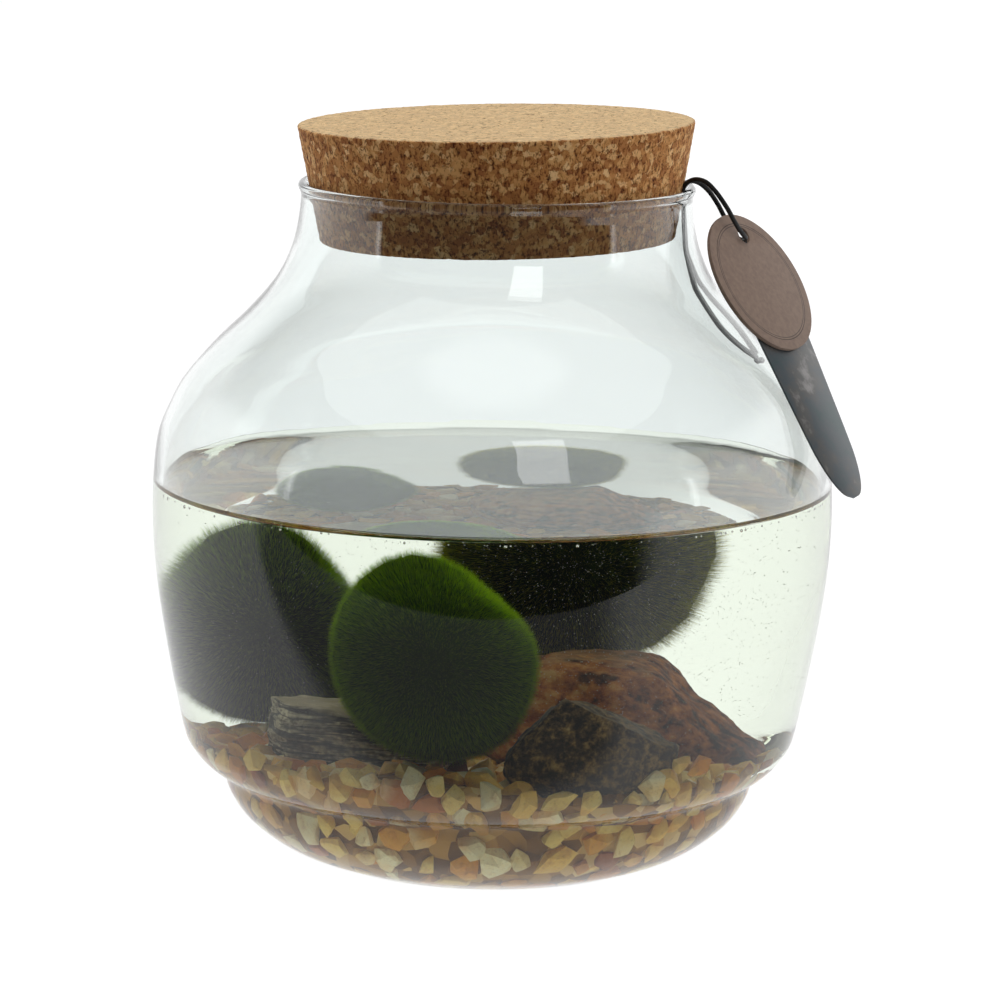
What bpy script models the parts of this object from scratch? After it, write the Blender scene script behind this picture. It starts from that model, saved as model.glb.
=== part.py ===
"""A corked glass jar of water that holds three marimo moss balls, three stones and a bed of gravel.

Two card tags hang on a thin black cord loop, which is pinched between the cork and the jar's rim.
Metres, +Z up, with the origin on the surface under the middle of the jar's base. -Y is the front.
"""

import math
import random

import bmesh
import bpy
from mathutils import Matrix, Vector, noise

# The gap that pieces keep where they touch, a stone's room in the gravel and water round it,
# and the facets round each turned piece.
GAP = 0.00035
STONE_ROOM = 0.0006
TURNED_STEPS = 36

# The jar's outer side as radius and height, from the base's edge up to the neck.
JAR_SIDE = (
    (0.0440, 0.0000),
    (0.0538, 0.0040),
    (0.0617, 0.0100),
    (0.0658, 0.0160),
    (0.0675, 0.0212),
    (0.0717, 0.0237),
    (0.0752, 0.0275),
    (0.0776, 0.0335),
    (0.0823, 0.0580),
    (0.0846, 0.0760),
    (0.0850, 0.0920),
    (0.0838, 0.1050),
    (0.0810, 0.1125),
    (0.0770, 0.1199),
    (0.0696, 0.1284),
    (0.0610, 0.1369),
    (0.0541, 0.1454),
    (0.0503, 0.1539),
    (0.0487, 0.1625),
    (0.0486, 0.1678),
)
BASE_THICKNESS = 0.0030
BODY_WALL = 0.0023
NECK_WALL = 0.0014
NECK_HEIGHT = 0.150
RIM_HEIGHT = 0.1678
RIM_HALF_WIDTH = 0.0007
RIM_RISE = 0.0011
RIM_STEPS = 4

# The cork: a tapered stopper, pushed in a little askew about the rim.
CORK_RADIUS_AT_RIM = 0.04655
CORK_TAPER = 0.183
CORK_ABOVE_RIM = 0.0150
CORK_BELOW_RIM = 0.0140
CORK_EDGE = 0.0008
CORK_TILT = math.radians(1.5)

# The still water and the gravel under it.
WATER_LEVEL = 0.0939
BED_HEIGHT = 0.0310
BED_FALL_TO_RIGHT = 0.040
BED_FALL_TO_BACK = 0.020
BED_BACK_DROP = 0.0060
BED_GRID = 18
BED_LUMP = 0.0012
BED_MOUNDS = (
    (Vector((-0.013, -0.056)), 0.0050, 0.013),
    (Vector((-0.038, 0.025)), 0.0020, 0.014),
)

# The tags share one frame: its origin is their hole, and its Z axis is the way that they face.
# The strip card's side is its height above the hole and its half width there.
TAG_HOLE_POINT = Vector((0.0599, -0.0063, 0.1566))
TAG_FACING = Vector((0.708, -0.451, 0.544)).normalized()
TAG_DOWN = Vector((0.391, -0.391, -0.833))
TAG_HOLE_RADIUS = 0.0022
STRIP_SIDE = (
    (0.0050, 0.0000),
    (0.0043, 0.0045),
    (0.0018, 0.0082),
    (-0.0025, 0.0106),
    (-0.0090, 0.0119),
    (-0.0180, 0.0121),
    (-0.0280, 0.0115),
    (-0.0420, 0.0104),
    (-0.0550, 0.0093),
    (-0.0612, 0.0084),
    (-0.0668, 0.0064),
    (-0.0704, 0.0036),
    (-0.0716, 0.0000),
)
STRIP_THICKNESS = 0.0005
ROUND_RADIUS = 0.0187
ROUND_CENTRE = Vector((-0.0014, -0.0129))
ROUND_THICKNESS = 0.0010

# The cord loop's route, chosen by hand: from its knot inside the jar up the near strand, out under
# the cork and over the rim, through the tags' holes, and back along the far strand to the knot.
CORD_DIAMETER = 0.0012
CORD_ROUTE = (
    (0.0638, -0.0151, 0.1276),
    (0.0600, -0.0200, 0.1306),
    (0.0565, -0.0212, 0.1337),
    (0.0536, -0.0203, 0.1369),
    (0.0497, -0.0158, 0.1426),
    (0.0482, -0.0127, 0.1458),
    (0.0465, -0.0088, 0.1530),
    (0.0460, -0.0081, 0.1580),
    (0.0457, -0.0077, 0.1630),
    (0.0455, -0.0076, 0.1674),
    (0.0464, -0.0081, 0.1700),
    (0.0485, -0.0092, 0.1713),
    (0.0511, -0.0107, 0.1709),
    (0.0533, -0.0118, 0.1690),
    (0.0552, -0.0123, 0.1666),
    (0.0568, -0.0121, 0.1642),
    (0.0582, -0.0115, 0.1617),
    (0.0596, -0.0105, 0.1594),
    (0.0608, -0.0095, 0.1578),
    (0.0614, -0.0082, 0.1569),
    (0.0611, -0.0069, 0.1563),
    (0.0604, -0.0059, 0.1562),
    (0.0593, -0.0049, 0.1567),
    (0.0583, -0.0041, 0.1582),
    (0.0571, -0.0034, 0.1600),
    (0.0559, -0.0027, 0.1622),
    (0.0544, -0.0025, 0.1649),
    (0.0523, -0.0031, 0.1678),
    (0.0500, -0.0040, 0.1698),
    (0.0480, -0.0047, 0.1704),
    (0.0464, -0.0052, 0.1697),
    (0.0458, -0.0053, 0.1672),
    (0.0463, -0.0053, 0.1575),
    (0.0469, -0.0050, 0.1528),
    (0.0496, -0.0047, 0.1462),
    (0.0515, -0.0052, 0.1433),
    (0.0539, -0.0067, 0.1403),
    (0.0593, -0.0095, 0.1343),
    (0.0640, -0.0128, 0.1281),
)
CORD_STEP = 0.0030
KNOT_CENTRE = Vector((0.0647, -0.0138, 0.1267))
KNOT_RADIUS = 0.0014


# The scene starts empty, with one collection for the jar and one for the cutters.
for old in list(bpy.data.objects):
    bpy.data.objects.remove(old, do_unlink=True)
jar_parts = bpy.data.collections.new("marimo_jar")
cutters = bpy.data.collections.new("cutters")
bpy.context.scene.collection.children.link(jar_parts)
bpy.context.scene.collection.children.link(cutters)


def surface(name, colour, roughness, transmission=0.0, ior=1.5):
    """A plain Principled material."""
    material = bpy.data.materials.new(name)
    material.use_nodes = True
    shader = material.node_tree.nodes["Principled BSDF"]
    shader.inputs["Base Color"].default_value = (*colour, 1.0)
    shader.inputs["Roughness"].default_value = roughness
    shader.inputs["Metallic"].default_value = 0.0
    shader.inputs["Transmission Weight"].default_value = transmission
    shader.inputs["IOR"].default_value = ior
    return material


def add_part(name, mesh, material, smooth=True):
    """A visible piece of the jar, shaded smooth up to its sharp edges."""
    part = bpy.data.objects.new(name, mesh)
    jar_parts.objects.link(part)
    mesh.materials.append(material)
    if smooth:
        mesh.shade_smooth()
        mesh.set_sharp_from_angle(angle=math.radians(40))
    return part


def add_cutter(name, mesh):
    """A shape that only cuts others, so it is left out of the model."""
    cutter = bpy.data.objects.new(name, mesh)
    cutters.objects.link(cutter)
    cutter.hide_render = True
    cutter.display_type = "WIRE"
    return cutter


def boolean(part, other, operation="DIFFERENCE"):
    modifier = part.modifiers.new(f"{operation.lower()} {other.name}", "BOOLEAN")
    modifier.operation = operation
    modifier.object = other


def mesh_from(name, shape):
    """Ends a bmesh and gives its mesh, with all faces pointing out."""
    bmesh.ops.recalc_face_normals(shape, faces=shape.faces)
    mesh = bpy.data.meshes.new(name)
    shape.to_mesh(mesh)
    shape.free()
    return mesh


def smooth_through(points, samples):
    """A Catmull-Rom curve through the points, with that many samples for each span."""
    points = [Vector(point) for point in points]
    first = points[0] * 2 - points[1]
    last = points[-1] * 2 - points[-2]
    padded = [first, *points, last]
    curve = []
    for i in range(1, len(padded) - 2):
        before, start, end, after = padded[i - 1 : i + 3]
        for k in range(samples):
            t = k / samples
            curve.append(
                0.5
                * (
                    2 * start
                    + (end - before) * t
                    + (2 * before - 5 * start + 4 * end - after) * t**2
                    + (3 * start - before - 3 * end + after) * t**3
                )
            )
    curve.append(points[-1])
    return curve


def turned(name, profile):
    """The mesh line of a turned piece, in the XZ plane; the Screw modifier turns it."""
    mesh = bpy.data.meshes.new(name)
    points = [(radius, 0.0, height) for radius, height in profile]
    edges = [(i, i + 1) for i in range(len(points) - 1)]
    mesh.from_pydata(points, edges, [])
    return mesh


def turn(piece):
    screw = piece.modifiers.new("turned", "SCREW")
    screw.axis = "Z"
    screw.angle = math.tau
    screw.steps = TURNED_STEPS
    screw.render_steps = TURNED_STEPS
    screw.use_merge_vertices = True
    screw.merge_threshold = 0.00001


# Glass jar: one blown wall, thick at the base and thin at the neck, with a fire-polished rim.
def wall_at(height):
    thin = min(max((height - WATER_LEVEL) / (NECK_HEIGHT - WATER_LEVEL), 0.0), 1.0)
    return BODY_WALL + (NECK_WALL - BODY_WALL) * thin


def inner_side(outer):
    """The wall's inner side, at right angles to the outer one, from the floor up."""
    inner = []
    for i in range(1, len(outer)):
        ahead = outer[min(i + 1, len(outer) - 1)]
        along = (ahead - outer[i - 1]).normalized()
        inward = Vector((-along.y, along.x))
        point = outer[i] + inward * wall_at(outer[i].y)
        if point.y > BASE_THICKNESS + GAP:
            inner.append(point)
    return inner


outer = [Vector(point) for point in JAR_SIDE]
inner = inner_side(outer)
floor_radius = inner[0].x - (inner[0].y - BASE_THICKNESS)
rim_middle = outer[-1].x - NECK_WALL / 2
rim_arc = []
for step in range(RIM_STEPS + 1):
    angle = math.pi * (1 - step / RIM_STEPS)
    rim_arc.append(
        Vector(
            (
                rim_middle + RIM_HALF_WIDTH * math.cos(angle),
                RIM_HEIGHT + RIM_RISE * math.sin(angle),
            )
        )
    )

jar_profile = [
    Vector((0.0, BASE_THICKNESS)),
    Vector((floor_radius, BASE_THICKNESS)),
    *inner[:-1],
    *rim_arc,
    *reversed(outer[:-1]),
    Vector((0.0, 0.0)),
]
glass = surface("clear soda-lime glass", (0.92, 0.96, 0.95), 0.02, 1.0, 1.52)
glass_jar = add_part("glass_jar", turned("glass_jar", jar_profile), glass)
turn(glass_jar)


# Cord loop: a curve through the hand-chosen route, and a wider one that presses its way into the cork.
def spaced(points, step):
    """Points at about even steps along a line."""
    lengths = [0.0]
    for start, end in zip(points, points[1:]):
        lengths.append(lengths[-1] + (end - start).length)
    count = round(lengths[-1] / step)
    result = []
    i = 0
    for k in range(count + 1):
        target = lengths[-1] * k / count
        while i < len(lengths) - 2 and lengths[i + 1] < target:
            i += 1
        share = (target - lengths[i]) / (lengths[i + 1] - lengths[i])
        result.append(points[i].lerp(points[i + 1], share))
    return result


def tube(name, points, radius):
    """A curve object: a round tube with closed ends."""
    curve = bpy.data.curves.new(name, "CURVE")
    curve.dimensions = "3D"
    curve.bevel_depth = radius
    curve.bevel_resolution = 2
    curve.use_fill_caps = True
    spline = curve.splines.new("POLY")
    spline.points.add(len(points) - 1)
    for point, place in zip(spline.points, points):
        point.co = (*place, 1.0)
    return curve


cord_line = spaced(smooth_through(CORD_ROUTE, 8), CORD_STEP)
black_cord = surface("black waxed cotton", (0.012, 0.012, 0.013), 0.6)
cord_curve = tube("tag_cord", cord_line, CORD_DIAMETER / 2)
cord_curve.materials.append(black_cord)
tag_cord = bpy.data.objects.new("tag_cord", cord_curve)
jar_parts.objects.link(tag_cord)

knot_shape = bmesh.new()
bmesh.ops.create_uvsphere(knot_shape, u_segments=10, v_segments=6, radius=KNOT_RADIUS)
cord_knot = add_part("cord_knot", mesh_from("cord_knot", knot_shape), black_cord)
cord_knot.location = KNOT_CENTRE


def solid_tube(name, points, radius):
    """The same tube as a closed mesh, so that it can cut."""
    guide = bpy.data.objects.new(name, tube(name, points, radius))
    cutters.objects.link(guide)
    bpy.context.view_layer.update()
    graph = bpy.context.evaluated_depsgraph_get()
    mesh = bpy.data.meshes.new_from_object(guide.evaluated_get(graph))
    curve = guide.data
    bpy.data.objects.remove(guide)
    bpy.data.curves.remove(curve)
    shape = bmesh.new()
    shape.from_mesh(mesh)
    bmesh.ops.remove_doubles(shape, verts=shape.verts, dist=0.00001)
    bpy.data.meshes.remove(mesh)
    return mesh_from(name, shape)


# Cork stopper: a tapered cone of pressed cork with a softened edge, dented where the cord runs.
cork_height = CORK_ABOVE_RIM + CORK_BELOW_RIM
cork_shape = bmesh.new()
bmesh.ops.create_cone(
    cork_shape,
    cap_ends=True,
    segments=TURNED_STEPS,
    radius1=CORK_RADIUS_AT_RIM - CORK_TAPER * CORK_BELOW_RIM,
    radius2=CORK_RADIUS_AT_RIM + CORK_TAPER * CORK_ABOVE_RIM,
    depth=cork_height,
)
middle_above_rim = (CORK_ABOVE_RIM - CORK_BELOW_RIM) / 2
bmesh.ops.translate(cork_shape, verts=cork_shape.verts, vec=(0, 0, middle_above_rim))
cork = surface("pressed cork granules", (0.24, 0.13, 0.065), 0.85)
cork_stopper = add_part("cork_stopper", mesh_from("cork_stopper", cork_shape), cork)
cork_stopper.location = (0, 0, RIM_HEIGHT + RIM_RISE)
cork_stopper.rotation_euler = (0, -CORK_TILT, 0)
soft_edge = cork_stopper.modifiers.new("worn edge", "BEVEL")
soft_edge.width = CORK_EDGE
soft_edge.segments = 1
soft_edge.limit_method = "ANGLE"
soft_edge.angle_limit = math.radians(40)

half = len(cord_line) // 2
near_strand = [point for point in cord_line[:half] if point.x < 0.0500]
far_strand = [point for point in cord_line[half:] if point.x < 0.0500]
for name, strand in (("near_dent", near_strand), ("far_dent", far_strand)):
    dent = add_cutter(name, solid_tube(name, strand, CORD_DIAMETER / 2 + GAP))
    boolean(cork_stopper, dent)


# Moss balls: each grew as one ball of felted threads, so each is one lumpy solid to its threads' tips.
def ball_mesh(name, half_width, half_height, bumps, seed, grow=0.0):
    """A lumpy ball about its centre; a bump is a direction, a height and how wide it spreads."""
    shape = bmesh.new()
    bmesh.ops.create_icosphere(shape, subdivisions=3, radius=1.0)
    for vertex in shape.verts:
        way = vertex.co.normalized()
        height = 0.0
        for direction, rise, spread in bumps:
            angle = way.angle(Vector(direction))
            height += rise * math.exp(-((angle / spread) ** 2))
        height += 0.0006 * noise.noise(way * 2.2 + Vector((seed, 0, 0)))
        body = Vector((way.x * half_width, way.y * half_width, way.z * half_height))
        vertex.co = body + way * (height + grow)
    return mesh_from(name, shape)


BALLS = {
    "marimo_front": {
        "centre": (-0.0121, -0.0538, 0.0615),
        "form": {
            "half_width": 0.0244,
            "half_height": 0.0252,
            "bumps": (
                ((-0.42, 0.15, 0.90), 0.0030, 0.5),
                ((0.62, 0.0, 0.78), -0.0033, 0.5),
                ((-0.90, 0.10, 0.42), 0.0008, 0.35),
                ((0.45, -0.10, -0.85), 0.0014, 0.5),
            ),
            "seed": 1,
        },
    },
    "marimo_left": {
        "centre": (-0.0385, 0.0255, 0.0570),
        "form": {
            "half_width": 0.0196,
            "half_height": 0.0242,
            "bumps": (
                ((-0.30, 0.20, 0.93), 0.0016, 0.5),
                ((0.10, 0.70, 0.70), 0.0014, 0.4),
                ((-0.88, 0.30, 0.38), -0.0018, 0.5),
                ((0.75, -0.10, 0.65), -0.0026, 0.4),
                ((1.0, 0.15, -0.10), 0.0016, 0.4),
            ),
            "seed": 5,
        },
    },
    "marimo_back": {
        "centre": (0.0127, 0.0483, 0.0694),
        "form": {
            "half_width": 0.0243,
            "half_height": 0.0229,
            "bumps": (
                ((0.88, 0.15, 0.42), 0.0020, 0.4),
                ((0.95, 0.10, -0.28), -0.0012, 0.35),
                ((0.60, 0.0, -0.80), 0.0010, 0.3),
                ((-0.5, -0.5, -0.6), -0.0010, 0.6),
            ),
            "seed": 9,
        },
    },
}
moss = surface("marimo moss felt", (0.045, 0.11, 0.012), 0.95)
ball_rooms = {}
for name, ball in BALLS.items():
    part = add_part(name, ball_mesh(name, **ball["form"]), moss)
    part.location = ball["centre"]
    room_mesh = ball_mesh(f"{name}_room", **ball["form"], grow=GAP)
    ball_rooms[name] = add_cutter(f"{name}_room", room_mesh)
    ball_rooms[name].location = ball["centre"]


# Stones: each is a broken lump with flat faces, made as the hull of points on a squared-off ellipsoid.
def stone_mesh(name, corners, grow=0.0):
    """The hull of the stone's corner points, grown away from its middle."""
    middle = sum((Vector(corner) for corner in corners), Vector()) / len(corners)
    shape = bmesh.new()
    for corner in corners:
        way = Vector(corner) - middle
        shape.verts.new(Vector(corner) + way.normalized() * grow)
    bmesh.ops.convex_hull(shape, input=shape.verts)
    loose = [vertex for vertex in shape.verts if not vertex.link_faces]
    bmesh.ops.delete(shape, geom=loose, context="VERTS")
    return mesh_from(name, shape)


def rock_corners(middle, halves, square, turn_z, tip_y, count, seed, broken=()):
    """Corner points spread over a rounded block: square 2 is an ellipsoid, more is boxier.

    A broken face is a direction and how far from the middle the face lies.
    """
    rng = random.Random(seed)
    frame = Matrix.Rotation(turn_z, 3, "Z") @ Matrix.Rotation(tip_y, 3, "Y")
    corners = []
    for i in range(count):
        height = 1 - 2 * (i + 0.5) / count
        around = i * math.pi * (3 - math.sqrt(5)) + rng.uniform(-0.15, 0.15)
        ring = math.sqrt(1 - height * height)
        way = Vector((ring * math.cos(around), ring * math.sin(around), height))
        reach = sum(abs(part) ** square for part in way) ** (-1 / square)
        reach *= rng.uniform(0.90, 1.0)
        local = Vector(part * reach * half_side for part, half_side in zip(way, halves))
        corner = frame @ local
        for direction, distance in broken:
            facing = Vector(direction).normalized()
            corner -= facing * max(0.0, corner.dot(facing) - distance)
        corners.append(Vector(middle) + corner)
    return corners


STONES = {
    "stone_grey": {
        "colour": (0.16, 0.155, 0.14),
        "form": {
            "middle": (-0.0255, -0.0170, 0.0368),
            "halves": (0.0225, 0.0130, 0.0112),
            "square": 4.0,
            "turn_z": math.radians(-6),
            "tip_y": math.radians(14),
            "count": 70,
            "seed": 11,
            "broken": (((-1.0, 0.0, 0.06), 0.0180), ((-0.04, 0.0, 1.0), 0.0104)),
        },
    },
    "stone_dark": {
        "colour": (0.075, 0.062, 0.045),
        "form": {
            "middle": (0.0238, -0.0560, 0.0395),
            "halves": (0.0215, 0.0100, 0.0160),
            "square": 2.8,
            "turn_z": math.radians(10),
            "tip_y": math.radians(10),
            "count": 60,
            "seed": 4,
            "broken": (((0.48, 0.0, 0.88), 0.0101), ((-0.73, 0.0, 0.68), 0.0155)),
        },
    },
    "stone_red": {
        "colour": (0.20, 0.085, 0.045),
        "form": {
            "middle": (0.0200, 0.0250, 0.0380),
            "halves": (0.0270, 0.0200, 0.0195),
            "square": 2.8,
            "turn_z": math.radians(10),
            "tip_y": math.radians(8),
            "count": 70,
            "seed": 8,
            "broken": (
                ((0.84, 0.0, 0.55), 0.0153),
                ((0.20, 0.0, 0.98), 0.0160),
                ((-0.32, 0.0, 0.95), 0.0181),
                ((0.80, 0.40, 0.40), 0.0186),
            ),
        },
    },
}
# Where a ball lies against a stone, the stone keeps clear of it.
SEATS = {"stone_red": "marimo_back", "stone_dark": "marimo_front"}
stone_rooms = {}
for name, stone in STONES.items():
    corners = rock_corners(**stone["form"])
    rock = surface(f"{name} face", stone["colour"], 0.8)
    part = add_part(name, stone_mesh(name, corners), rock, smooth=False)
    room_mesh = stone_mesh(f"{name}_room", corners, grow=STONE_ROOM)
    stone_rooms[name] = add_cutter(f"{name}_room", room_mesh)
    if name in SEATS:
        boolean(part, ball_rooms[SEATS[name]])


# Gravel bed and water: both fill the jar inside its wall, the gravel below its lumpy top, the water above.
def fill_profile(top):
    """The jar's inside up to a height, a gap clear of the wall."""
    sides = [point for point in inner if point.y < top]
    below = sides[-1]
    above = inner[len(sides)]
    share = (top - below.y) / (above.y - below.y)
    brim = below.lerp(above, share)
    wall = [Vector((point.x - GAP, point.y + GAP / 2)) for point in sides]
    return [
        Vector((0.0, top)),
        Vector((brim.x - GAP, top)),
        *reversed(wall),
        Vector((floor_radius - GAP, BASE_THICKNESS + GAP)),
        Vector((0.0, BASE_THICKNESS + GAP)),
    ]


def bed_height(x, y):
    height = BED_HEIGHT - BED_FALL_TO_RIGHT * x - BED_FALL_TO_BACK * y
    behind = max(y - 0.030, 0.0) / 0.045
    height -= BED_BACK_DROP * behind**2
    for place, rise, spread in BED_MOUNDS:
        away = (Vector((x, y)) - place).length
        height += rise * math.exp(-((away / spread) ** 2) / 2)
    return height + BED_LUMP * noise.noise(Vector((x, y, 0.0)) / 0.011)


def bed_block(name, lift):
    """Everything below the gravel's top, raised by the lift."""
    reach = max(point.x for point in outer)
    shape = bmesh.new()
    bmesh.ops.create_grid(shape, x_segments=BED_GRID, y_segments=BED_GRID, size=reach)
    for vertex in shape.verts:
        vertex.co.z = bed_height(vertex.co.x, vertex.co.y) + lift
    top = list(shape.faces)
    lower = bmesh.ops.extrude_face_region(shape, geom=top)
    for piece in lower["geom"]:
        if isinstance(piece, bmesh.types.BMVert):
            piece.co.z = -0.010
    bmesh.ops.triangulate(shape, faces=shape.faces, quad_method="FIXED")
    return mesh_from(name, shape)


gravel_top = add_cutter("gravel_top", bed_block("gravel_top", 0.0))
water_foot = add_cutter("water_foot", bed_block("water_foot", GAP))

chips = surface("cream and ochre stone chips", (0.42, 0.26, 0.11), 0.7)
gravel_bed = add_part("gravel_bed", turned("gravel_bed", fill_profile(0.050)), chips, smooth=False)
turn(gravel_bed)
boolean(gravel_bed, gravel_top, "INTERSECT")

still_water = surface("still water", (0.95, 0.98, 0.95), 0.0, 1.0, 1.333)
water = add_part("water", turned("water", fill_profile(WATER_LEVEL)), still_water)
turn(water)
boolean(water, water_foot)
for room in (*ball_rooms.values(), *stone_rooms.values()):
    boolean(gravel_bed, room)
    boolean(water, room)


# Tags: two cards with one hole each, on a shared frame that leans against the jar's shoulder.
tag_frame = bpy.data.objects.new("tag_frame", None)
jar_parts.objects.link(tag_frame)
tag_down = (TAG_DOWN - TAG_FACING * TAG_DOWN.dot(TAG_FACING)).normalized()
tag_across = TAG_FACING.cross(tag_down)
tag_axes = Matrix((tag_across, -tag_down, TAG_FACING)).transposed()
tag_frame.matrix_world = Matrix.Translation(TAG_HOLE_POINT) @ tag_axes.to_4x4()


def card(name, outline, thickness, lift, material):
    """A flat card with the hole at its origin, facing the frame's Z axis."""
    curve = bpy.data.curves.new(name, "CURVE")
    curve.dimensions = "2D"
    curve.fill_mode = "BOTH"
    curve.extrude = thickness / 2
    rim = [Vector((TAG_HOLE_RADIUS, 0))]
    for k in range(1, 12):
        rim.append(Matrix.Rotation(math.tau * k / 12, 2) @ rim[0])
    for loop in (outline, rim):
        spline = curve.splines.new("POLY")
        spline.points.add(len(loop) - 1)
        spline.use_cyclic_u = True
        for point, place in zip(spline.points, loop):
            point.co = (place.x, place.y, 0.0, 1.0)
    curve.materials.append(material)
    piece = bpy.data.objects.new(name, curve)
    jar_parts.objects.link(piece)
    piece.parent = tag_frame
    piece.location = (0, 0, lift)
    return piece


def arc(centre, radius, start, end, steps):
    """Points along part of a circle, both ends included."""
    points = []
    for k in range(steps + 1):
        angle = start + (end - start) * k / steps
        points.append(Vector(centre) + radius * Vector((math.cos(angle), math.sin(angle))))
    return points


strip_side = [Vector((width, height)) for height, width in STRIP_SIDE]
other_side = [Vector((-point.x, point.y)) for point in strip_side[-2:0:-1]]
grey_card = surface("glossy printed grey card", (0.10, 0.10, 0.11), 0.3)
strip_tag = card("strip_tag", strip_side + other_side, STRIP_THICKNESS, 0.0, grey_card)

round_edge = arc(ROUND_CENTRE, ROUND_RADIUS, 0, math.tau, 48)[:-1]
round_lift = STRIP_THICKNESS / 2 + GAP + ROUND_THICKNESS / 2
brown_card = surface("matt brown board", (0.21, 0.155, 0.13), 0.6)
round_tag = card("round_tag", round_edge, ROUND_THICKNESS, round_lift, brown_card)
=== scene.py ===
"""The looks of a corked jar of water with three marimo moss balls, stones, gravel and two tags."""

import math
import random

import bmesh
import bpy
import numpy as np
from mathutils import Matrix, Vector, noise
from mathutils.bvhtree import BVHTree


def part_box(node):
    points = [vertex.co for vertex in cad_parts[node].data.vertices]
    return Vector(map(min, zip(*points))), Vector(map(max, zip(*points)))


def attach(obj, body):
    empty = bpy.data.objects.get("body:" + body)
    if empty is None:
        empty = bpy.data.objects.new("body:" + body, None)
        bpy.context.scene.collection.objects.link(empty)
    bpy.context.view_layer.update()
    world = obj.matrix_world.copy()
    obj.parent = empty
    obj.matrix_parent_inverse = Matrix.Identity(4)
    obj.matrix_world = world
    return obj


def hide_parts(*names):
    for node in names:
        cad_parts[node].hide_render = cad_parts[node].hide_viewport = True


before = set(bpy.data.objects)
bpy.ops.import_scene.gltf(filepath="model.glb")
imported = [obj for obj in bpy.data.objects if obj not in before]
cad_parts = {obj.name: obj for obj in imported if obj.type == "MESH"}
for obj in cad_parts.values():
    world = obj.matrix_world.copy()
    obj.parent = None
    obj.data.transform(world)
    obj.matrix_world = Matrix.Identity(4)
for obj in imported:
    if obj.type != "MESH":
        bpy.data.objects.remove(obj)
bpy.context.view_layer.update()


# Camera: it stands 1.1 m in front of the jar, a little above it, and looks down on the water.
# A long lens keeps the jar's sides nearly parallel.
CAMERA_PLACE = (0.00191, -1.1, 0.2902)
CAMERA_DOWN = math.radians(10.37)
CAMERA_ROLL = math.radians(0.87)
CAMERA_LENS = 160.52

camera_data = bpy.data.cameras.new("camera")
camera_data.sensor_width = 36.0
camera_data.lens = CAMERA_LENS
camera_data.clip_start = 0.05
camera = bpy.data.objects.new("camera", camera_data)
bpy.context.scene.collection.objects.link(camera)
camera_turn = Matrix.Rotation(math.pi / 2 - CAMERA_DOWN, 4, "X") @ Matrix.Rotation(CAMERA_ROLL, 4, "Z")
camera.matrix_world = Matrix.Translation(CAMERA_PLACE) @ camera_turn
bpy.context.scene.camera = camera
bpy.context.scene.view_settings.view_transform = "Standard"


# Cord loop: 1.2 mm black waxed cotton, knotted inside the jar. Both strands are pinched between the
# cork and the rim, and the loop outside goes through the holes of the two tags.
CORD_DIAMETER = 0.0012
CORD_ROUTE = (
    (0.0638, -0.0151, 0.1276),
    (0.0600, -0.0200, 0.1306),
    (0.0565, -0.0212, 0.1337),
    (0.0536, -0.0203, 0.1369),
    (0.0497, -0.0158, 0.1426),
    (0.0482, -0.0127, 0.1458),
    (0.0465, -0.0088, 0.1530),
    (0.0460, -0.0081, 0.1580),
    (0.0457, -0.0077, 0.1630),
    (0.0455, -0.0076, 0.1674),
    (0.0464, -0.0081, 0.1700),
    (0.0485, -0.0092, 0.1713),
    (0.0511, -0.0107, 0.1709),
    (0.0533, -0.0118, 0.1690),
    (0.0552, -0.0123, 0.1666),
    (0.0568, -0.0121, 0.1642),
    (0.0582, -0.0115, 0.1617),
    (0.0596, -0.0105, 0.1594),
    (0.0608, -0.0095, 0.1578),
    (0.0614, -0.0082, 0.1569),
    (0.0611, -0.0069, 0.1563),
    (0.0604, -0.0059, 0.1562),
    (0.0593, -0.0049, 0.1567),
    (0.0583, -0.0041, 0.1582),
    (0.0571, -0.0034, 0.1600),
    (0.0559, -0.0027, 0.1622),
    (0.0544, -0.0025, 0.1649),
    (0.0523, -0.0031, 0.1678),
    (0.0500, -0.0040, 0.1698),
    (0.0480, -0.0047, 0.1704),
    (0.0464, -0.0052, 0.1697),
    (0.0458, -0.0053, 0.1672),
    (0.0463, -0.0053, 0.1575),
    (0.0469, -0.0050, 0.1528),
    (0.0496, -0.0047, 0.1462),
    (0.0515, -0.0052, 0.1433),
    (0.0539, -0.0067, 0.1403),
    (0.0593, -0.0095, 0.1343),
    (0.0640, -0.0128, 0.1281),
)
KNOT_CENTRE = Vector((0.0647, -0.0138, 0.1267))
KNOT_LOBE = 0.00029
KNOT_STRAND = 0.00045
KNOT_STEPS = 60


def colour(code):
    """An sRGB hex colour as the linear values that a shader takes."""
    channels = [int(code[i : i + 2], 16) / 255 for i in (1, 3, 5)]
    linear = [c / 12.92 if c <= 0.04045 else ((c + 0.055) / 1.055) ** 2.4 for c in channels]
    return (*linear, 1.0)


def feed(tree, node, inputs):
    """Fills a node's inputs, each with a value, a socket to link, or a node whose result it takes."""
    for name, value in inputs.items():
        if isinstance(value, bpy.types.Node):
            value = next(socket for socket in value.outputs if socket.enabled)
        if isinstance(value, bpy.types.NodeSocket):
            tree.links.new(value, node.inputs[name])
        else:
            node.inputs[name].default_value = value


def add_node(tree, kind, inputs, stops=(), **settings):
    """Adds a node with its settings and inputs, and the stops of a colour ramp."""
    node = tree.nodes.new(f"ShaderNode{kind}")
    for name, value in settings.items():
        setattr(node, name, value)
    feed(tree, node, inputs)
    for i, (place, code) in enumerate(stops):
        stop = node.color_ramp.elements[i] if i < 2 else node.color_ramp.elements.new(place)
        stop.position = place
        stop.color = colour(code)
    return node


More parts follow.
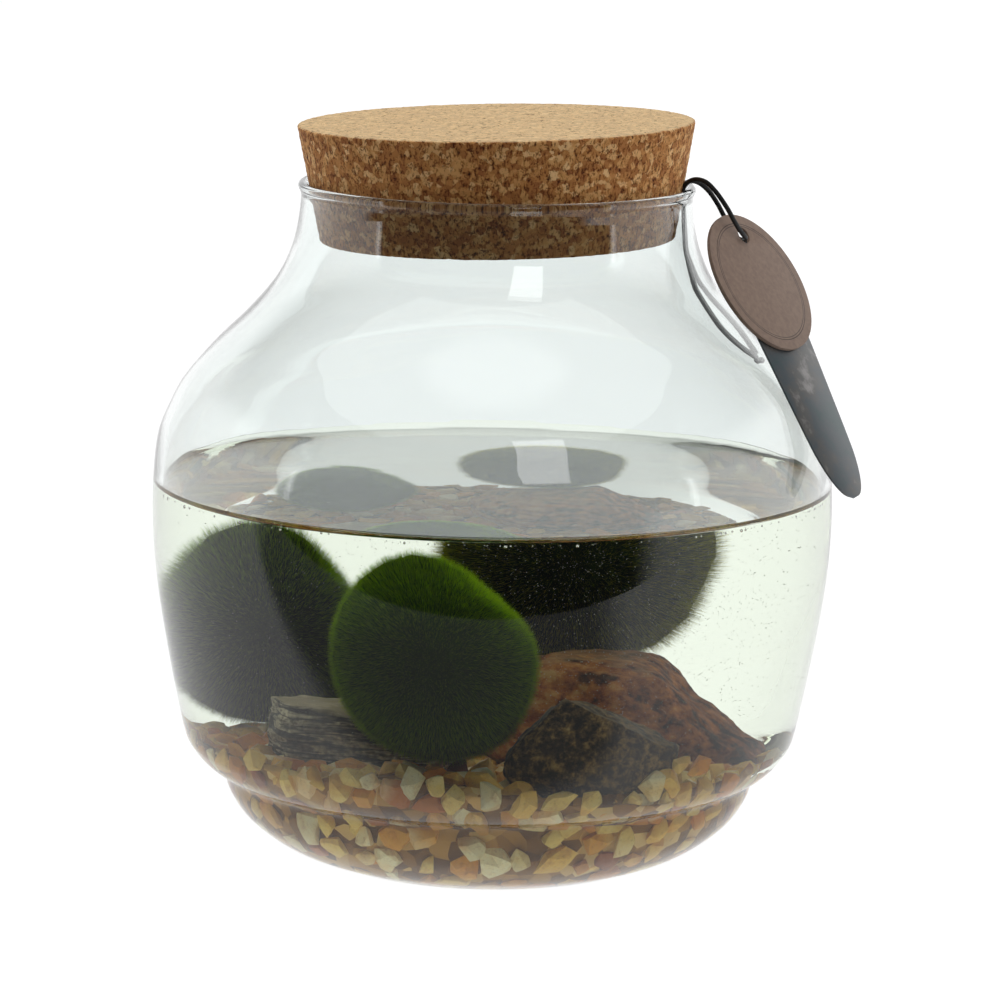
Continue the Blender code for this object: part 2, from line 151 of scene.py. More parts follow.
def new_material(name, values):
    """A material, its node tree, and its Principled shader, which starts from these plain values."""
    material = bpy.data.materials.new(name)
    material.use_nodes = True
    tree = material.node_tree
    shader = tree.nodes["Principled BSDF"]
    feed(tree, shader, values)
    return material, tree, shader


def add_piece(name, data, materials, replaced=()):
    """Puts a mesh or a curve in the jar's body, with its materials and what it stands for."""
    piece = bpy.data.objects.new(name, data)
    bpy.context.scene.collection.objects.link(piece)
    for material in materials:
        data.materials.append(material)
    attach(piece, "root")
    if replaced:
        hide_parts(*replaced)
    return piece


def smooth_line(points, samples):
    """A Catmull-Rom curve through the points, with that many samples for each span."""
    points = [Vector(point) for point in points]
    padded = [points[0] * 2 - points[1], *points, points[-1] * 2 - points[-2]]
    line = []
    for before, start, end, after in zip(padded, padded[1:], padded[2:], padded[3:]):
        for k in range(samples):
            t = k / samples
            bend = (2 * before - 5 * start + 4 * end - after) * t**2
            bend += (3 * start - before - 3 * end + after) * t**3
            line.append((2 * start + (end - before) * t + bend) / 2)
    line.append(points[-1])
    return line


def tube(name, points, radius, closed):
    """A curve object's data: a round cord through the points."""
    curve = bpy.data.curves.new(name, "CURVE")
    curve.dimensions = "3D"
    curve.bevel_depth = radius
    curve.bevel_resolution = 3
    curve.use_fill_caps = not closed
    spline = curve.splines.new("POLY")
    spline.points.add(len(points) - 1)
    spline.use_cyclic_u = closed
    for point, place in zip(spline.points, points):
        point.co = (*place, 1.0)
        point.radius = 1.0
    return curve


# Waxed cotton: black, with a dull shine along the top of its fine twist.
waxed_cotton, tree, shader = new_material(
    "black waxed cotton", {"Base Color": colour("#0b0b0c"), "Roughness": 0.5, "Sheen Weight": 0.04}
)
TWIST = 0.0007
place = add_node(tree, "TexCoord", {}).outputs["Object"]
twist = add_node(tree, "TexNoise", {"Vector": place, "Scale": 1 / TWIST, "Detail": 3.0})
bump = add_node(tree, "Bump", {"Height": twist, "Strength": 0.4, "Distance": 0.0001})
feed(tree, shader, {"Normal": bump})

cord_line = smooth_line(CORD_ROUTE, 8)
cord_curve = tube("cord_loop", cord_line, CORD_DIAMETER / 2, closed=False)
cord = add_piece("cord_loop", cord_curve, [waxed_cotton], ["tag_cord"])

knot_line = []
for k in range(KNOT_STEPS):
    t = math.tau * k / KNOT_STEPS
    x = math.sin(t) + 2 * math.sin(2 * t)
    y = math.cos(t) - 2 * math.cos(2 * t)
    knot_line.append(KNOT_CENTRE + KNOT_LOBE * Vector((x, y, -math.sin(3 * t))))
knot_curve = tube("loop_knot", knot_line, KNOT_STRAND, closed=True)
knot = add_piece("loop_knot", knot_curve, [waxed_cotton], ["cord_knot"])


# Room: a white acrylic light table in a white tent that is open to the dark room where the camera
# stands. A softbox hangs above the camera at its right, and a soft lamp hangs over the cork.
TABLE_HALF_SIDE = 1.6
TABLE_PLACE = (0.0, 1.315, -0.0002)
TABLE_LIGHT = 0.95
TABLE_DIM_LIGHT = 0.22
TABLE_DIM_WAY = (-0.375, -0.927, 0)
TABLE_DIM_EDGE = (0.42, 0.64)
TABLE_DIM_DEPTH = (-0.125, -0.098)
# The painted shadow behind the jar: its middle, the distances over which it fades in, and how bright
# the table glows inside it.
PAINTED_SHADOW_PLACE = (0.0, 0.130, 0.0)
PAINTED_SHADOW_EDGE = (0.040, 0.085)
PAINTED_SHADOW_LIGHT = 0.62
TENT_LIGHT = 1.02
TENT_TOP_LIGHT = 0.10
TENT_TOP_EDGE = (0.28, 0.52)
OPENING_LIGHT = 0.06
OPENING_EDGE = 0.34
OPENING_BLUR = 0.02
UNDER_TABLE_WAY = (-0.242, -0.970, 0)
UNDER_TABLE_EDGE = (0.28, 0.50)
OVERHEAD_LIGHT = 0.7
OVERHEAD_EDGE = (0.94, 0.97)
HEM_LIGHT = 1.6
HEM_HEIGHT = 0.15
BOX_PLACE = Vector((0.33, -0.97, 0.85))
BOX_SIZE = (0.34, 0.48)
BOX_LIGHT = 2.4
LAMP_PLACE = Vector((0.0, 0.05, 1.30))
LAMP_SIZE = (2.0, 2.0)
LAMP_LIGHT = 1.2

table_shape = bmesh.new()
bmesh.ops.create_grid(table_shape, x_segments=8, y_segments=8, size=TABLE_HALF_SIDE)
table_mesh = bpy.data.meshes.new("light_table")
table_shape.to_mesh(table_mesh)
table_shape.free()
lit_white = {"Base Color": (0.10, 0.10, 0.10, 1), "Roughness": 0.8, "Emission Color": (1, 1, 1, 1)}
acrylic, tree, shader = new_material("white acrylic", lit_white)
# In front of the jar the table glows less, as the jar's reflections show.
place = add_node(tree, "NewGeometry", {}).outputs["Position"]
depth = add_node(tree, "SeparateXYZ", {"Vector": place}).outputs["Y"]
start, end = TABLE_DIM_DEPTH
span = {"Value": depth, "From Min": start, "From Max": end, "To Min": 1.0, "To Max": 0.0}
nearer = add_node(tree, "MapRange", span, interpolation_type="SMOOTHSTEP")
flat = add_node(tree, "VectorMath", {0: place, 1: (1, 1, 0)}, operation="MULTIPLY")
flat = add_node(tree, "VectorMath", {0: flat}, operation="NORMALIZE")
frontal = add_node(tree, "VectorMath", {0: flat, 1: TABLE_DIM_WAY}, operation="DOT_PRODUCT")
start, end = TABLE_DIM_EDGE
span = {"Value": frontal, "From Min": start, "From Max": end}
before = add_node(tree, "MapRange", span, interpolation_type="SMOOTHSTEP")
dim = add_node(tree, "Math", {0: nearer, 1: before}, operation="MULTIPLY")
bright = add_node(tree, "MapRange", {"Value": dim, "To Min": TABLE_LIGHT, "To Max": TABLE_DIM_LIGHT})
# A painted shadow: the table glows less just behind the jar, where the jar's shadow would fall.
behind = add_node(tree, "VectorMath", {0: place, 1: PAINTED_SHADOW_PLACE}, operation="DISTANCE")
start, end = PAINTED_SHADOW_EDGE
span = {"Value": behind, "From Min": start, "From Max": end, "To Min": PAINTED_SHADOW_LIGHT}
painted_shadow = add_node(tree, "MapRange", span, interpolation_type="SMOOTHSTEP")
glow = add_node(tree, "Math", {0: bright, 1: painted_shadow}, operation="MULTIPLY")
# The table that the camera sees directly is evenly white, as a cut-out background is.
seen = add_node(tree, "LightPath", {}).outputs["Is Camera Ray"]
glow = add_node(tree, "Math", {0: glow, 1: seen}, operation="MAXIMUM")
feed(tree, shader, {"Emission Strength": glow})
table = bpy.data.objects.new("light_table", table_mesh)
table.location = TABLE_PLACE
table_mesh.materials.append(acrylic)
bpy.context.scene.collection.objects.link(table)

world = bpy.data.worlds.new("light_tent")
world.use_nodes = True
bpy.context.scene.world = world
tree = world.node_tree
# The tent's walls are lit, its top is dim, and its front is open. Straight overhead it is lit again.
way = add_node(tree, "TexCoord", {}).outputs["Generated"]
level = add_node(tree, "VectorMath", {0: way, 1: (1, 1, 0)}, operation="MULTIPLY")
level = add_node(tree, "VectorMath", {0: level}, operation="NORMALIZE")
frontal = add_node(tree, "VectorMath", {0: level, 1: (0, -1, 0)}, operation="DOT_PRODUCT")
height = add_node(tree, "SeparateXYZ", {"Vector": way}).outputs["Z"]
start, end = TENT_TOP_EDGE
lights = {"To Min": TENT_LIGHT, "To Max": TENT_TOP_LIGHT}
span = {"Value": height, "From Min": start, "From Max": end, **lights}
tent = add_node(tree, "MapRange", span, interpolation_type="SMOOTHSTEP")
start, end = OPENING_EDGE - OPENING_BLUR, OPENING_EDGE + OPENING_BLUR
span = {"Value": frontal, "From Min": start, "From Max": end, "To Min": 1.0, "To Max": 0.0}
opening = add_node(tree, "MapRange", span)
aslant = add_node(tree, "VectorMath", {0: level, 1: UNDER_TABLE_WAY}, operation="DOT_PRODUCT")
start, end = UNDER_TABLE_EDGE
span = {"Value": aslant, "From Min": start, "From Max": end, "To Min": 1.0, "To Max": 0.0}
below = add_node(tree, "MapRange", span, interpolation_type="SMOOTHSTEP")
standing = add_node(tree, "Math", {0: height, 1: 0.0}, operation="GREATER_THAN")
opening = add_node(tree, "Mix", {0: standing, 2: below, 3: opening})
room = add_node(tree, "Math", {0: tent, 1: opening}, operation="MULTIPLY")
start, end = OVERHEAD_EDGE
lights = {"To Min": OPENING_LIGHT, "To Max": OVERHEAD_LIGHT}
overhead = add_node(tree, "MapRange", {"Value": height, "From Min": start, "From Max": end, **lights})
light = add_node(tree, "Math", {0: room, 1: overhead}, operation="MAXIMUM")
# The tent's lit hem stands on both sides of the opening.
hem = add_node(tree, "Math", {0: frontal, 1: OPENING_EDGE - 0.03, 2: OPENING_BLUR}, operation="COMPARE")
low = add_node(tree, "Math", {0: height, 1: HEM_HEIGHT, 2: HEM_HEIGHT}, operation="COMPARE")
hem = add_node(tree, "Math", {0: hem, 1: low}, operation="MULTIPLY")
light = add_node(tree, "Math", {0: hem, 1: HEM_LIGHT, 2: light}, operation="MULTIPLY_ADD")
feed(tree, tree.nodes["Background"], {"Color": (1, 1, 1, 1), "Strength": light})


def soft_light(name, place, size, strength):
    """A rectangular soft light that looks at the jar and shines as bright as its strength says."""
    data = bpy.data.lights.new(name, "AREA")
    data.shape = "RECTANGLE"
    data.size, data.size_y = size
    data.energy = strength * math.pi * size[0] * size[1]
    lamp = bpy.data.objects.new(name, data)
    lamp.location = place
    lamp.rotation_euler = (Vector((0, 0, 0.12)) - place).to_track_quat("-Z", "Y").to_euler()
    bpy.context.scene.collection.objects.link(lamp)
    return lamp


soft_light("softbox", BOX_PLACE, BOX_SIZE, BOX_LIGHT)
top_lamp = soft_light("top_lamp", LAMP_PLACE, LAMP_SIZE, LAMP_LIGHT)
top_lamp.visible_glossy = False
cycles = bpy.context.scene.cycles
cycles.max_bounces = 28
cycles.transmission_bounces = 28
cycles.glossy_bounces = 8
cycles.diffuse_bounces = 5
cycles.transparent_max_bounces = 16


# Glass jar: blown soda-lime glass, thick at the foot and thin at the neck, with a fire-polished bead
# for a rim. The outer side is one smooth curve, and the inner side follows it at the wall's depth.
JAR_SIDE = (
    (0.0440, 0.0000),
    (0.0538, 0.0040),
    (0.0617, 0.0100),
    (0.0658, 0.0160),
    (0.0675, 0.0212),
    (0.0717, 0.0237),
    (0.0752, 0.0275),
    (0.0776, 0.0335),
    (0.0823, 0.0580),
    (0.0846, 0.0760),
    (0.0850, 0.0920),
    (0.0838, 0.1050),
    (0.0810, 0.1125),
    (0.0770, 0.1199),
    (0.0696, 0.1284),
    (0.0610, 0.1369),
    (0.0541, 0.1454),
    (0.0503, 0.1539),
    (0.0487, 0.1625),
    (0.0486, 0.1678),
)
BASE_THICKNESS = 0.0030
BASE_PUSH_UP = 0.0010
FLOOR_RISE = ((0.0, 1.0), (0.0200, 0.7), (0.0380, 0.15))
BODY_WALL = 0.0023
NECK_WALL = 0.0014
NECK_HEIGHT = 0.150
BEAD_HALF_WIDTH = 0.00115
BEAD_HALF_HEIGHT = 0.00115
BEAD_CENTRE = Vector((0.0481, 0.16775))
BEAD_FOOT = BEAD_CENTRE.y - 0.0013
BEAD_STEPS = 14
GLASS_STEPS = 128
WATER_LEVEL = 0.0932
MENISCUS_RISE = 0.0020
MENISCUS_REACH = 0.0024
MENISCUS_STEEP = 0.0006
CONTACT_ROOM = 0.0002
GLASS_IOR = 1.52
WATER_IOR = 1.333
RIPPLE = 0.030


def wall_at(height):
    """How thick the glass is at a height."""
    thin = min(max((height - WATER_LEVEL) / (NECK_HEIGHT - WATER_LEVEL), 0.0), 1.0)
    return BODY_WALL + (NECK_WALL - BODY_WALL) * thin


def jar_floor(lift):
    """The jar's pushed-up floor from its middle outwards, as (radius, height) points, lifted."""
    heights = [(radius, BASE_THICKNESS + BASE_PUSH_UP * rise) for radius, rise in FLOOR_RISE]
    return [Vector((radius, height + lift)) for radius, height in heights]


def turned(name, outline, steps):
    """A turned mesh from an outline of (radius, height) points that starts and ends on the axis."""
    rings = []
    corners = []
    for radius, height in outline:
        count = 1 if radius < 1e-7 else steps
        rings.append([len(corners) + k % count for k in range(steps + 1)])
        for k in range(count):
            angle = math.tau * k / steps
            corners.append((radius * math.cos(angle), radius * math.sin(angle), height))
    faces = []
    for lower, upper in zip(rings, rings[1:]):
        for k in range(steps):
            loop = (lower[k], lower[k + 1], upper[k + 1], upper[k])
            faces.append(tuple(dict.fromkeys(loop)))
    mesh = bpy.data.meshes.new(name)
    mesh.from_pydata(corners, [], faces)
    shape = bmesh.new()
    shape.from_mesh(mesh)
    bmesh.ops.recalc_face_normals(shape, faces=shape.faces)
    shape.to_mesh(mesh)
    shape.free()
    mesh.shade_smooth()
    return mesh


def use_second_material(mesh, count):
    """Gives that many of the mesh's first faces its second material."""
    chosen = np.zeros(len(mesh.polygons), dtype=np.int32)
    chosen[:count] = 1
    mesh.polygons.foreach_set("material_index", chosen)


def clear_material(name, tint, ior):
    """A smooth clear material with that tint, which bends light by that much."""
    values = {"Base Color": colour(tint), "Roughness": 0.0, "IOR": ior, "Transmission Weight": 1.0}
    return new_material(name, values)


outer_side = smooth_line(JAR_SIDE, 5)
inner_side = []
for before, point, after in zip(outer_side, outer_side[1:], outer_side[2:] + outer_side[-1:]):
    along = (after - before).normalized()
    inward = point + Vector((-along.y, along.x)) * wall_at(point.y)
    if inward.y > BASE_THICKNESS + 0.0005:
        inner_side.append(inward)
floor_radius = inner_side[0].x - (inner_side[0].y - BASE_THICKNESS)
inner_heights = [point.y for point in inner_side]
inner_radii = [point.x for point in inner_side]
contact_height = WATER_LEVEL + MENISCUS_RISE
contact = Vector((float(np.interp(contact_height, inner_heights, inner_radii)), contact_height))
wetted_side = [point for point in inner_side if point.y < contact_height - CONTACT_ROOM]
dry_side = [point for point in inner_side if contact_height + CONTACT_ROOM < point.y < BEAD_FOOT]

bead = []
for step in range(BEAD_STEPS + 1):
    angle = math.radians(215 - 250 * step / BEAD_STEPS)
    rise = Vector((BEAD_HALF_WIDTH * math.cos(angle), BEAD_HALF_HEIGHT * math.sin(angle)))
    bead.append(BEAD_CENTRE + rise)
under_bead = [point for point in outer_side if point.y < BEAD_FOOT]

glass_outline = [
    *jar_floor(0.0),
    Vector((floor_radius, BASE_THICKNESS)),
    *wetted_side,
    contact,
    *dry_side,
    *bead,
    *reversed(under_bead),
    Vector((0.0400, 0.0002)),
    Vector((0.0200, BASE_PUSH_UP * 0.7)),
    Vector((0.0, BASE_PUSH_UP)),
]
glass_mesh = turned("jar_glass", glass_outline, GLASS_STEPS)

# Soda-lime glass: colourless but for a trace of grey-green. Where water wets it, light only bends by
# the ratio of the two, so the wetted side has that IOR and hardly reflects.
clear_glass, tree, shader = clear_material("clear soda-lime glass", "#f8fcfb", GLASS_IOR)
place = add_node(tree, "TexCoord", {}).outputs["Object"]
ripple = add_node(tree, "TexNoise", {"Vector": place, "Scale": 1 / RIPPLE, "Detail": 1.0})
bump = add_node(tree, "Bump", {"Height": ripple, "Strength": 0.15, "Distance": 0.001})
feed(tree, shader, {"Normal": bump})
wetted_glass = clear_material("soda-lime glass wetted by water", "#ffffff", GLASS_IOR / WATER_IOR)[0]
add_piece("jar_glass", glass_mesh, [clear_glass, wetted_glass], ["glass_jar"])
use_second_material(glass_mesh, (4 + len(wetted_side)) * GLASS_STEPS)


# Water: still and clear. Its face is flat but for the edge, which climbs the glass in a meniscus.
# The sides lie just inside the wetted glass, which does the bending there, so they bend nothing.
WATER_GAP = 0.00005
MENISCUS_STEPS = 12
MENISCUS_WIDTH = 0.010

water_side = [point - Vector((WATER_GAP, 0)) for point in (*wetted_side, contact)]
meniscus = []
for step in range(1, MENISCUS_STEPS + 1):
    away = MENISCUS_WIDTH * (step / MENISCUS_STEPS) ** 2
    fall = 0.5 * math.exp(-away / MENISCUS_REACH) + 0.5 * math.exp(-away / MENISCUS_STEEP)
    rise = MENISCUS_RISE * fall
    meniscus.append(Vector((water_side[-1].x - away, WATER_LEVEL + rise)))
water_outline = [
    *jar_floor(WATER_GAP),
    Vector((floor_radius - WATER_GAP, BASE_THICKNESS + WATER_GAP)),
    *water_side,
    *meniscus,
    Vector((0.0400, WATER_LEVEL)),
    Vector((0.0, WATER_LEVEL)),
]
water_mesh = turned("water_body", water_outline, GLASS_STEPS)
still_water = clear_material("still water", "#ffffff", WATER_IOR)[0]
water_by_glass = clear_material("water against glass", "#f7fced", 1.0)[0]
add_piece("water_body", water_mesh, [still_water, water_by_glass], ["water"])
use_second_material(water_mesh, (3 + len(water_side)) * GLASS_STEPS)


# Gravel: about 780 loose chips of cream, ochre and rust stone, 5 to 12 mm long, their edges a little
# worn. One layer lies against the glass and one on top, and even chips fill the space between.
CHIP_FORMS = 48
CHIP_CORNERS = 11
# The lengths before the wear, which takes up to a third off.
CHIP_SIZES = (0.0078, 0.0132)
CHIP_GAP = 0.0075
GLASS_GAP = 0.00015
RING_FOOT = 0.0022
RING_TOP = 0.040
RIM_RING = 0.078
RIM_PROBE = 0.0725
HEAP_TRIES = 240
HEAP_SIDES = (0.010, 0.052)
HEAP_LOW = 0.0215
HEAP_HIGH = 0.0262
HEAP_RISE_FROM = 0.028
HEAP_RISE = 0.60
BED_REACH = 0.076
FILL_GAP = 0.0100
FILL_LAYERS = 5
FILL_COVER = 0.0050
HEART_DEPTH = 0.0027
HEART_CELL = 0.0014
CLOUD = 0.0035
SPECK = 0.0006
GRIT = 0.0045
CHIP_TINTS = (
    ("#f4d889", 26),
    ("#ecc46a", 22),
    ("#efe6c8", 8),
    ("#e4a644", 19),
    ("#d28a2c", 11),
    ("#bb7026", 5),
    ("#9a5a34", 3),
    ("#7f4530", 1),
    ("#fbf0d2", 8),
)


def solid_tree(node):
    """A search tree of a solid of the frame."""
    shape = bmesh.new()
    shape.from_mesh(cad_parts[node].data)
    tree = BVHTree.FromBMesh(shape)
    shape.free()
    return tree


def inside(tree, point):
    """True where the point is inside the closed solid."""
    spot, normal, face, away = tree.find_nearest(point)
    return (point - spot).dot(normal) < 0


def shown_mesh(guide):
    """The mesh that a guide object shows with its modifiers. The guide itself goes."""
    bpy.context.scene.collection.objects.link(guide)
    bpy.context.view_layer.update()
    mesh = bpy.data.meshes.new_from_object(guide.evaluated_get(bpy.context.evaluated_depsgraph_get()))
    bpy.data.objects.remove(guide)
    return mesh


def fine_solid(node, cell):
    """The frame's solid as an even fine mesh."""
    shape = bmesh.new()
    shape.from_mesh(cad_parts[node].data)
    bmesh.ops.remove_doubles(shape, verts=shape.verts, dist=1e-6)
    mesh = bpy.data.meshes.new(f"{node}_fine")
    shape.to_mesh(mesh)
    shape.free()
    guide = bpy.data.objects.new(f"{node}_guide", mesh)
    remesh = guide.modifiers.new("even faces", "REMESH")
    remesh.mode = "VOXEL"
    remesh.voxel_size = cell
    soften = guide.modifiers.new("worn", "SMOOTH")
    soften.factor = 0.5
    soften.iterations = 3
    fine = shown_mesh(guide)
    fine.name = node
    return fine


def carve(mesh, depth_at):
    """Moves each corner of the mesh along its normal by what depth_at says."""
    normals = [corner.vector.copy() for corner in mesh.vertex_normals]
    for vertex, normal in zip(mesh.vertices, normals):
        vertex.co = vertex.co + normal * depth_at(vertex.co, normal)
    mesh.shade_smooth()


def chip_form(rng):
    """One chip about a half length of 1: a hull of random corners, subdivided and worn round."""
    shape = bmesh.new()
    flat = rng.uniform(0.45, 0.75)
    wide = rng.uniform(0.60, 0.90)
    for i in range(CHIP_CORNERS):
        height = 1 - 2 * (i + 0.5) / CHIP_CORNERS
        around = i * math.pi * (3 - math.sqrt(5)) + rng.uniform(-0.7, 0.7)
        ring = math.sqrt(1 - height * height)
        reach = rng.uniform(0.66, 1.12)
        way = Vector((ring * math.cos(around), ring * math.sin(around) * wide, height * flat))
        shape.verts.new(way * reach)
    bmesh.ops.convex_hull(shape, input=shape.verts)
    loose = [vertex for vertex in shape.verts if not vertex.link_faces]
    bmesh.ops.delete(shape, geom=loose, context="VERTS")
    bmesh.ops.subdivide_edges(shape, edges=shape.edges, cuts=1, use_grid_fill=True)
    axes = {"use_axis_x": True, "use_axis_y": True, "use_axis_z": True}
    bmesh.ops.smooth_vert(shape, verts=shape.verts, factor=0.22, **axes)
    bmesh.ops.triangulate(shape, faces=shape.faces)
    shape.verts.index_update()
    corners = np.array([vertex.co for vertex in shape.verts])
    faces = np.array([[vertex.index for vertex in face.verts] for face in shape.faces])
    shape.free()
    return corners, faces


def inner_radius(height):
    """The radius of the jar's inside at a height."""
    return np.interp(height, [BASE_THICKNESS, *inner_heights], [floor_radius, *inner_radii])


def mottled(tree, place, size, stops, under=None, share=1.0, **look):
    """A noise with patches of that size, and its colours, multiplied by share into those under it."""
    patches = add_node(tree, "TexNoise", {"Vector": place, "Scale": 1 / size, **look})
    tints = add_node(tree, "ValToRGB", {"Fac": patches}, stops=stops)
    if under is not None:
        both = {0: share, 6: under, 7: tints}
        tints = add_node(tree, "Mix", both, data_type="RGBA", blend_type="MULTIPLY")
    return patches, tints


def coat(tree, shader, finish, relief, strength, depth):
    """Gives a shader its colour, and its relief as bumps of that strength and depth."""
    bump = add_node(tree, "Bump", {"Height": relief, "Strength": strength, "Distance": depth})
    feed(tree, shader, {"Base Color": finish, "Normal": bump})


rng = random.Random(21)
forms = [chip_form(rng) for _ in range(CHIP_FORMS)]
bed_tree = solid_tree("gravel_bed")
stone_trees = [solid_tree(node) for node in ("stone_grey", "stone_dark", "stone_red")]
ball_trees = [solid_tree(node) for node in ("marimo_front", "marimo_left", "marimo_back")]


def bed_top(x, y):
    """The height of the bed's top at a place, or nothing beside the bed."""
    spot, normal, face, away = bed_tree.ray_cast(Vector((x, y, 0.2)), Vector((0, 0, -1)))
    return spot.z if spot else None


def settle(seats, point, gap, facing):
    """Keeps a chip's seat if it is in the bed and clear of the seats before it."""
    top = bed_top(point.x, point.y)
    if top is None or point.z > top - 0.0008:
        return
    near = [seat for seat in seats[-900:] if (seat[0] - point).length < gap]
    if near or any(inside(tree, point) for tree in stone_trees):
        return
    seats.append((point, facing))


# Against the glass, ring above ring.
seats = []
height = BASE_THICKNESS + RING_FOOT
while height < RING_TOP:
    ring = inner_radius(height) - 0.0023
    count = int(math.tau * ring / CHIP_GAP)
    for k in range(count):
        angle = math.tau * (k + rng.uniform(-0.3, 0.3)) / count
        lift = height + rng.uniform(-0.0014, 0.0014)
        out = inner_radius(max(lift, BASE_THICKNESS + 0.001)) - rng.uniform(0.0020, 0.0030)
        point = Vector((out * math.cos(angle), out * math.sin(angle), lift))
        settle(seats, point, CHIP_GAP * 0.70, Vector((math.cos(angle), math.sin(angle), -0.3)))
    height += CHIP_GAP * 0.82
# Round the rim of the bed's top.
count = int(math.tau * RIM_RING / (CHIP_GAP * 0.72))
for k in range(count):
    angle = math.tau * (k + rng.uniform(-0.2, 0.2)) / count
    way = Vector((math.cos(angle), math.sin(angle), 0.0))
    top = bed_top(*(way * RIM_PROBE).xy)
    if top is None:
        continue
    out = inner_radius(top) - 0.0028
    point = Vector((out * way.x, out * way.y, top - rng.uniform(0.0012, 0.0022)))
    settle(seats, point, CHIP_GAP * 0.55, way + Vector((0, 0, 0.6)))
# Heaped against the glass before the dark stone.
for k in range(HEAP_TRIES):
    x = rng.uniform(*HEAP_SIDES)
    lift = rng.uniform(HEAP_LOW, HEAP_HIGH + max(0.0, x - HEAP_RISE_FROM) * HEAP_RISE)
    out = inner_radius(lift) - 0.0026
    point = Vector((x, -math.sqrt(out * out - x * x), lift))
    near = [seat for seat in seats if (seat[0] - point).length < CHIP_GAP * 0.52]
    if not near and not any(inside(tree, point) for tree in stone_trees):
        seats.append((point, Vector((point.x, point.y, -0.01))))
# On top of the bed.
rows = int(BED_REACH / (CHIP_GAP * 0.87))
for row in range(-rows, rows + 1):
    for column in range(-rows, rows + 1):
        x = (column + 0.5 * (row % 2)) * CHIP_GAP + rng.uniform(-0.0016, 0.0016)
        y = row * CHIP_GAP * 0.87 + rng.uniform(-0.0016, 0.0016)
        top = bed_top(x, y)
        if top is None or math.hypot(x, y) > inner_radius(top) - 0.003:
            continue
        point = Vector((x, y, top - rng.uniform(0.0014, 0.0028)))
        settle(seats, point, CHIP_GAP * 0.66, Vector((rng.gauss(0, 0.5), rng.gauss(0, 0.5), 1)))
# The fill, where chips show only through gaps.
fill_from = len(seats)
rows = int(BED_REACH / FILL_GAP)
for layer in range(FILL_LAYERS):
    for row in range(-rows, rows + 1):
        for column in range(-rows, rows + 1):
            x = (column + 0.5 * (layer % 2)) * FILL_GAP + rng.uniform(-0.001, 0.001)
            y = (row + 0.5 * (layer % 2)) * FILL_GAP + rng.uniform(-0.001, 0.001)
            z = BASE_THICKNESS + 0.0030 + layer * FILL_GAP * 0.72
            top = bed_top(x, y)
            if top is None or z > top - FILL_COVER or math.hypot(x, y) > inner_radius(z) - 0.0060:
                continue
            facing = Vector((rng.gauss(0, 1), rng.gauss(0, 1), rng.gauss(0, 1)))
            seats.append((Vector((x, y, z)), facing))

codes, weights = zip(*CHIP_TINTS)
chip_corners = []
chip_faces = []
chip_tints = []
corner_count = 0
for i, (point, facing) in enumerate(seats):
    corners, faces = forms[rng.randrange(CHIP_FORMS)]
    half = rng.uniform(*CHIP_SIZES) / 2
    if i >= fill_from:
        half = FILL_GAP * 0.66
    across = facing.normalized().to_track_quat("Z", "Y").to_matrix()
    turn = across @ Matrix.Rotation(rng.uniform(0, math.tau), 3, "Z")
    placed = corners * half @ np.array(turn).T + np.array(point)
    placed[:, 2] = np.maximum(placed[:, 2], BASE_THICKNESS + BASE_PUSH_UP + GLASS_GAP)
    reach = np.hypot(placed[:, 0], placed[:, 1])
    limit = inner_radius(placed[:, 2]) - GLASS_GAP
    placed[:, :2] *= np.minimum(1.0, limit / np.maximum(reach, 1e-6))[:, None]
    tint = np.array(colour(rng.choices(codes, weights)[0]))
    second = np.array(colour(rng.choices(codes, weights)[0]))
    spread = rng.uniform(-1.0, 1.0)
    side = np.clip((corners[:, 0] + spread) * 2.5, 0, 1)[:, None]
    shade = rng.uniform(0.92, 1.12)
    blend = tint * (1 - side) + (0.5 * tint + 0.5 * second) * side
    chip_tints.append(np.clip(blend * shade, 0, 1))
    chip_corners.append(placed)
    chip_faces.append(faces + corner_count)
    corner_count += len(corners)
chips_mesh = bpy.data.meshes.new("gravel_chips")
chips_mesh.from_pydata(np.concatenate(chip_corners).tolist(), [], np.concatenate(chip_faces).tolist())
chips_mesh.shade_smooth()
chips_mesh.set_sharp_from_angle(angle=math.radians(27))
tints = chips_mesh.color_attributes.new("chip_tint", "FLOAT_COLOR", "POINT")
tint_values = np.concatenate(chip_tints)
tint_values[:, 3] = 1.0
tints.data.foreach_set("color", tint_values.ravel())

# Quartz and limestone chips: wet, so they shine little, cream to rust, clouded and finely speckled.
stone_chips, tree, shader = new_material(
    "wet quartz and limestone chips", {"Roughness": 0.35, "IOR": 1.22}
)
place = add_node(tree, "TexCoord", {}).outputs["Object"]
own = add_node(tree, "Attribute", {}, attribute_name="chip_tint")
cloud_tints = ((0.30, "#d09a44"), (0.44, "#fae6b6"), (0.62, "#fff8e6"))
clouded = mottled(tree, place, CLOUD, cloud_tints, own, 0.55, Detail=5.0, Roughness=0.6)[1]
speck_tints = ((0.30, "#b39a6e"), (0.45, "#ffffff"))
specks, finish = mottled(tree, place, SPECK, speck_tints, clouded, 0.35, Detail=3.0)
coat(tree, shader, finish, specks, 0.3, 0.0002)
add_piece("gravel_chips", chips_mesh, [stone_chips], ["gravel_bed"])

# The depth of the bed, where only brown gaps between the chips show.
deep_gravel, tree, shader = new_material("deep wet gravel", {"Roughness": 0.7, "IOR": 1.15})
place = add_node(tree, "TexCoord", {}).outputs["Object"]
grit = add_node(tree, "TexVoronoi", {"Vector": place, "Scale": 1 / GRIT})
grit_tints = ((0.20, "#6e4a24"), (0.45, "#9a6d34"), (0.65, "#c4954c"), (0.85, "#e4c486"))
gritty = add_node(tree, "ValToRGB", {"Fac": grit.outputs["Color"]}, stops=grit_tints)
coat(tree, shader, gritty, grit, 0.8, 0.0010)
heart_mesh = fine_solid("gravel_bed", HEART_CELL)
carve(heart_mesh, lambda point, normal: -HEART_DEPTH)
heart_mesh.name = "gravel_heart"
add_piece("gravel_heart", heart_mesh, [deep_gravel])


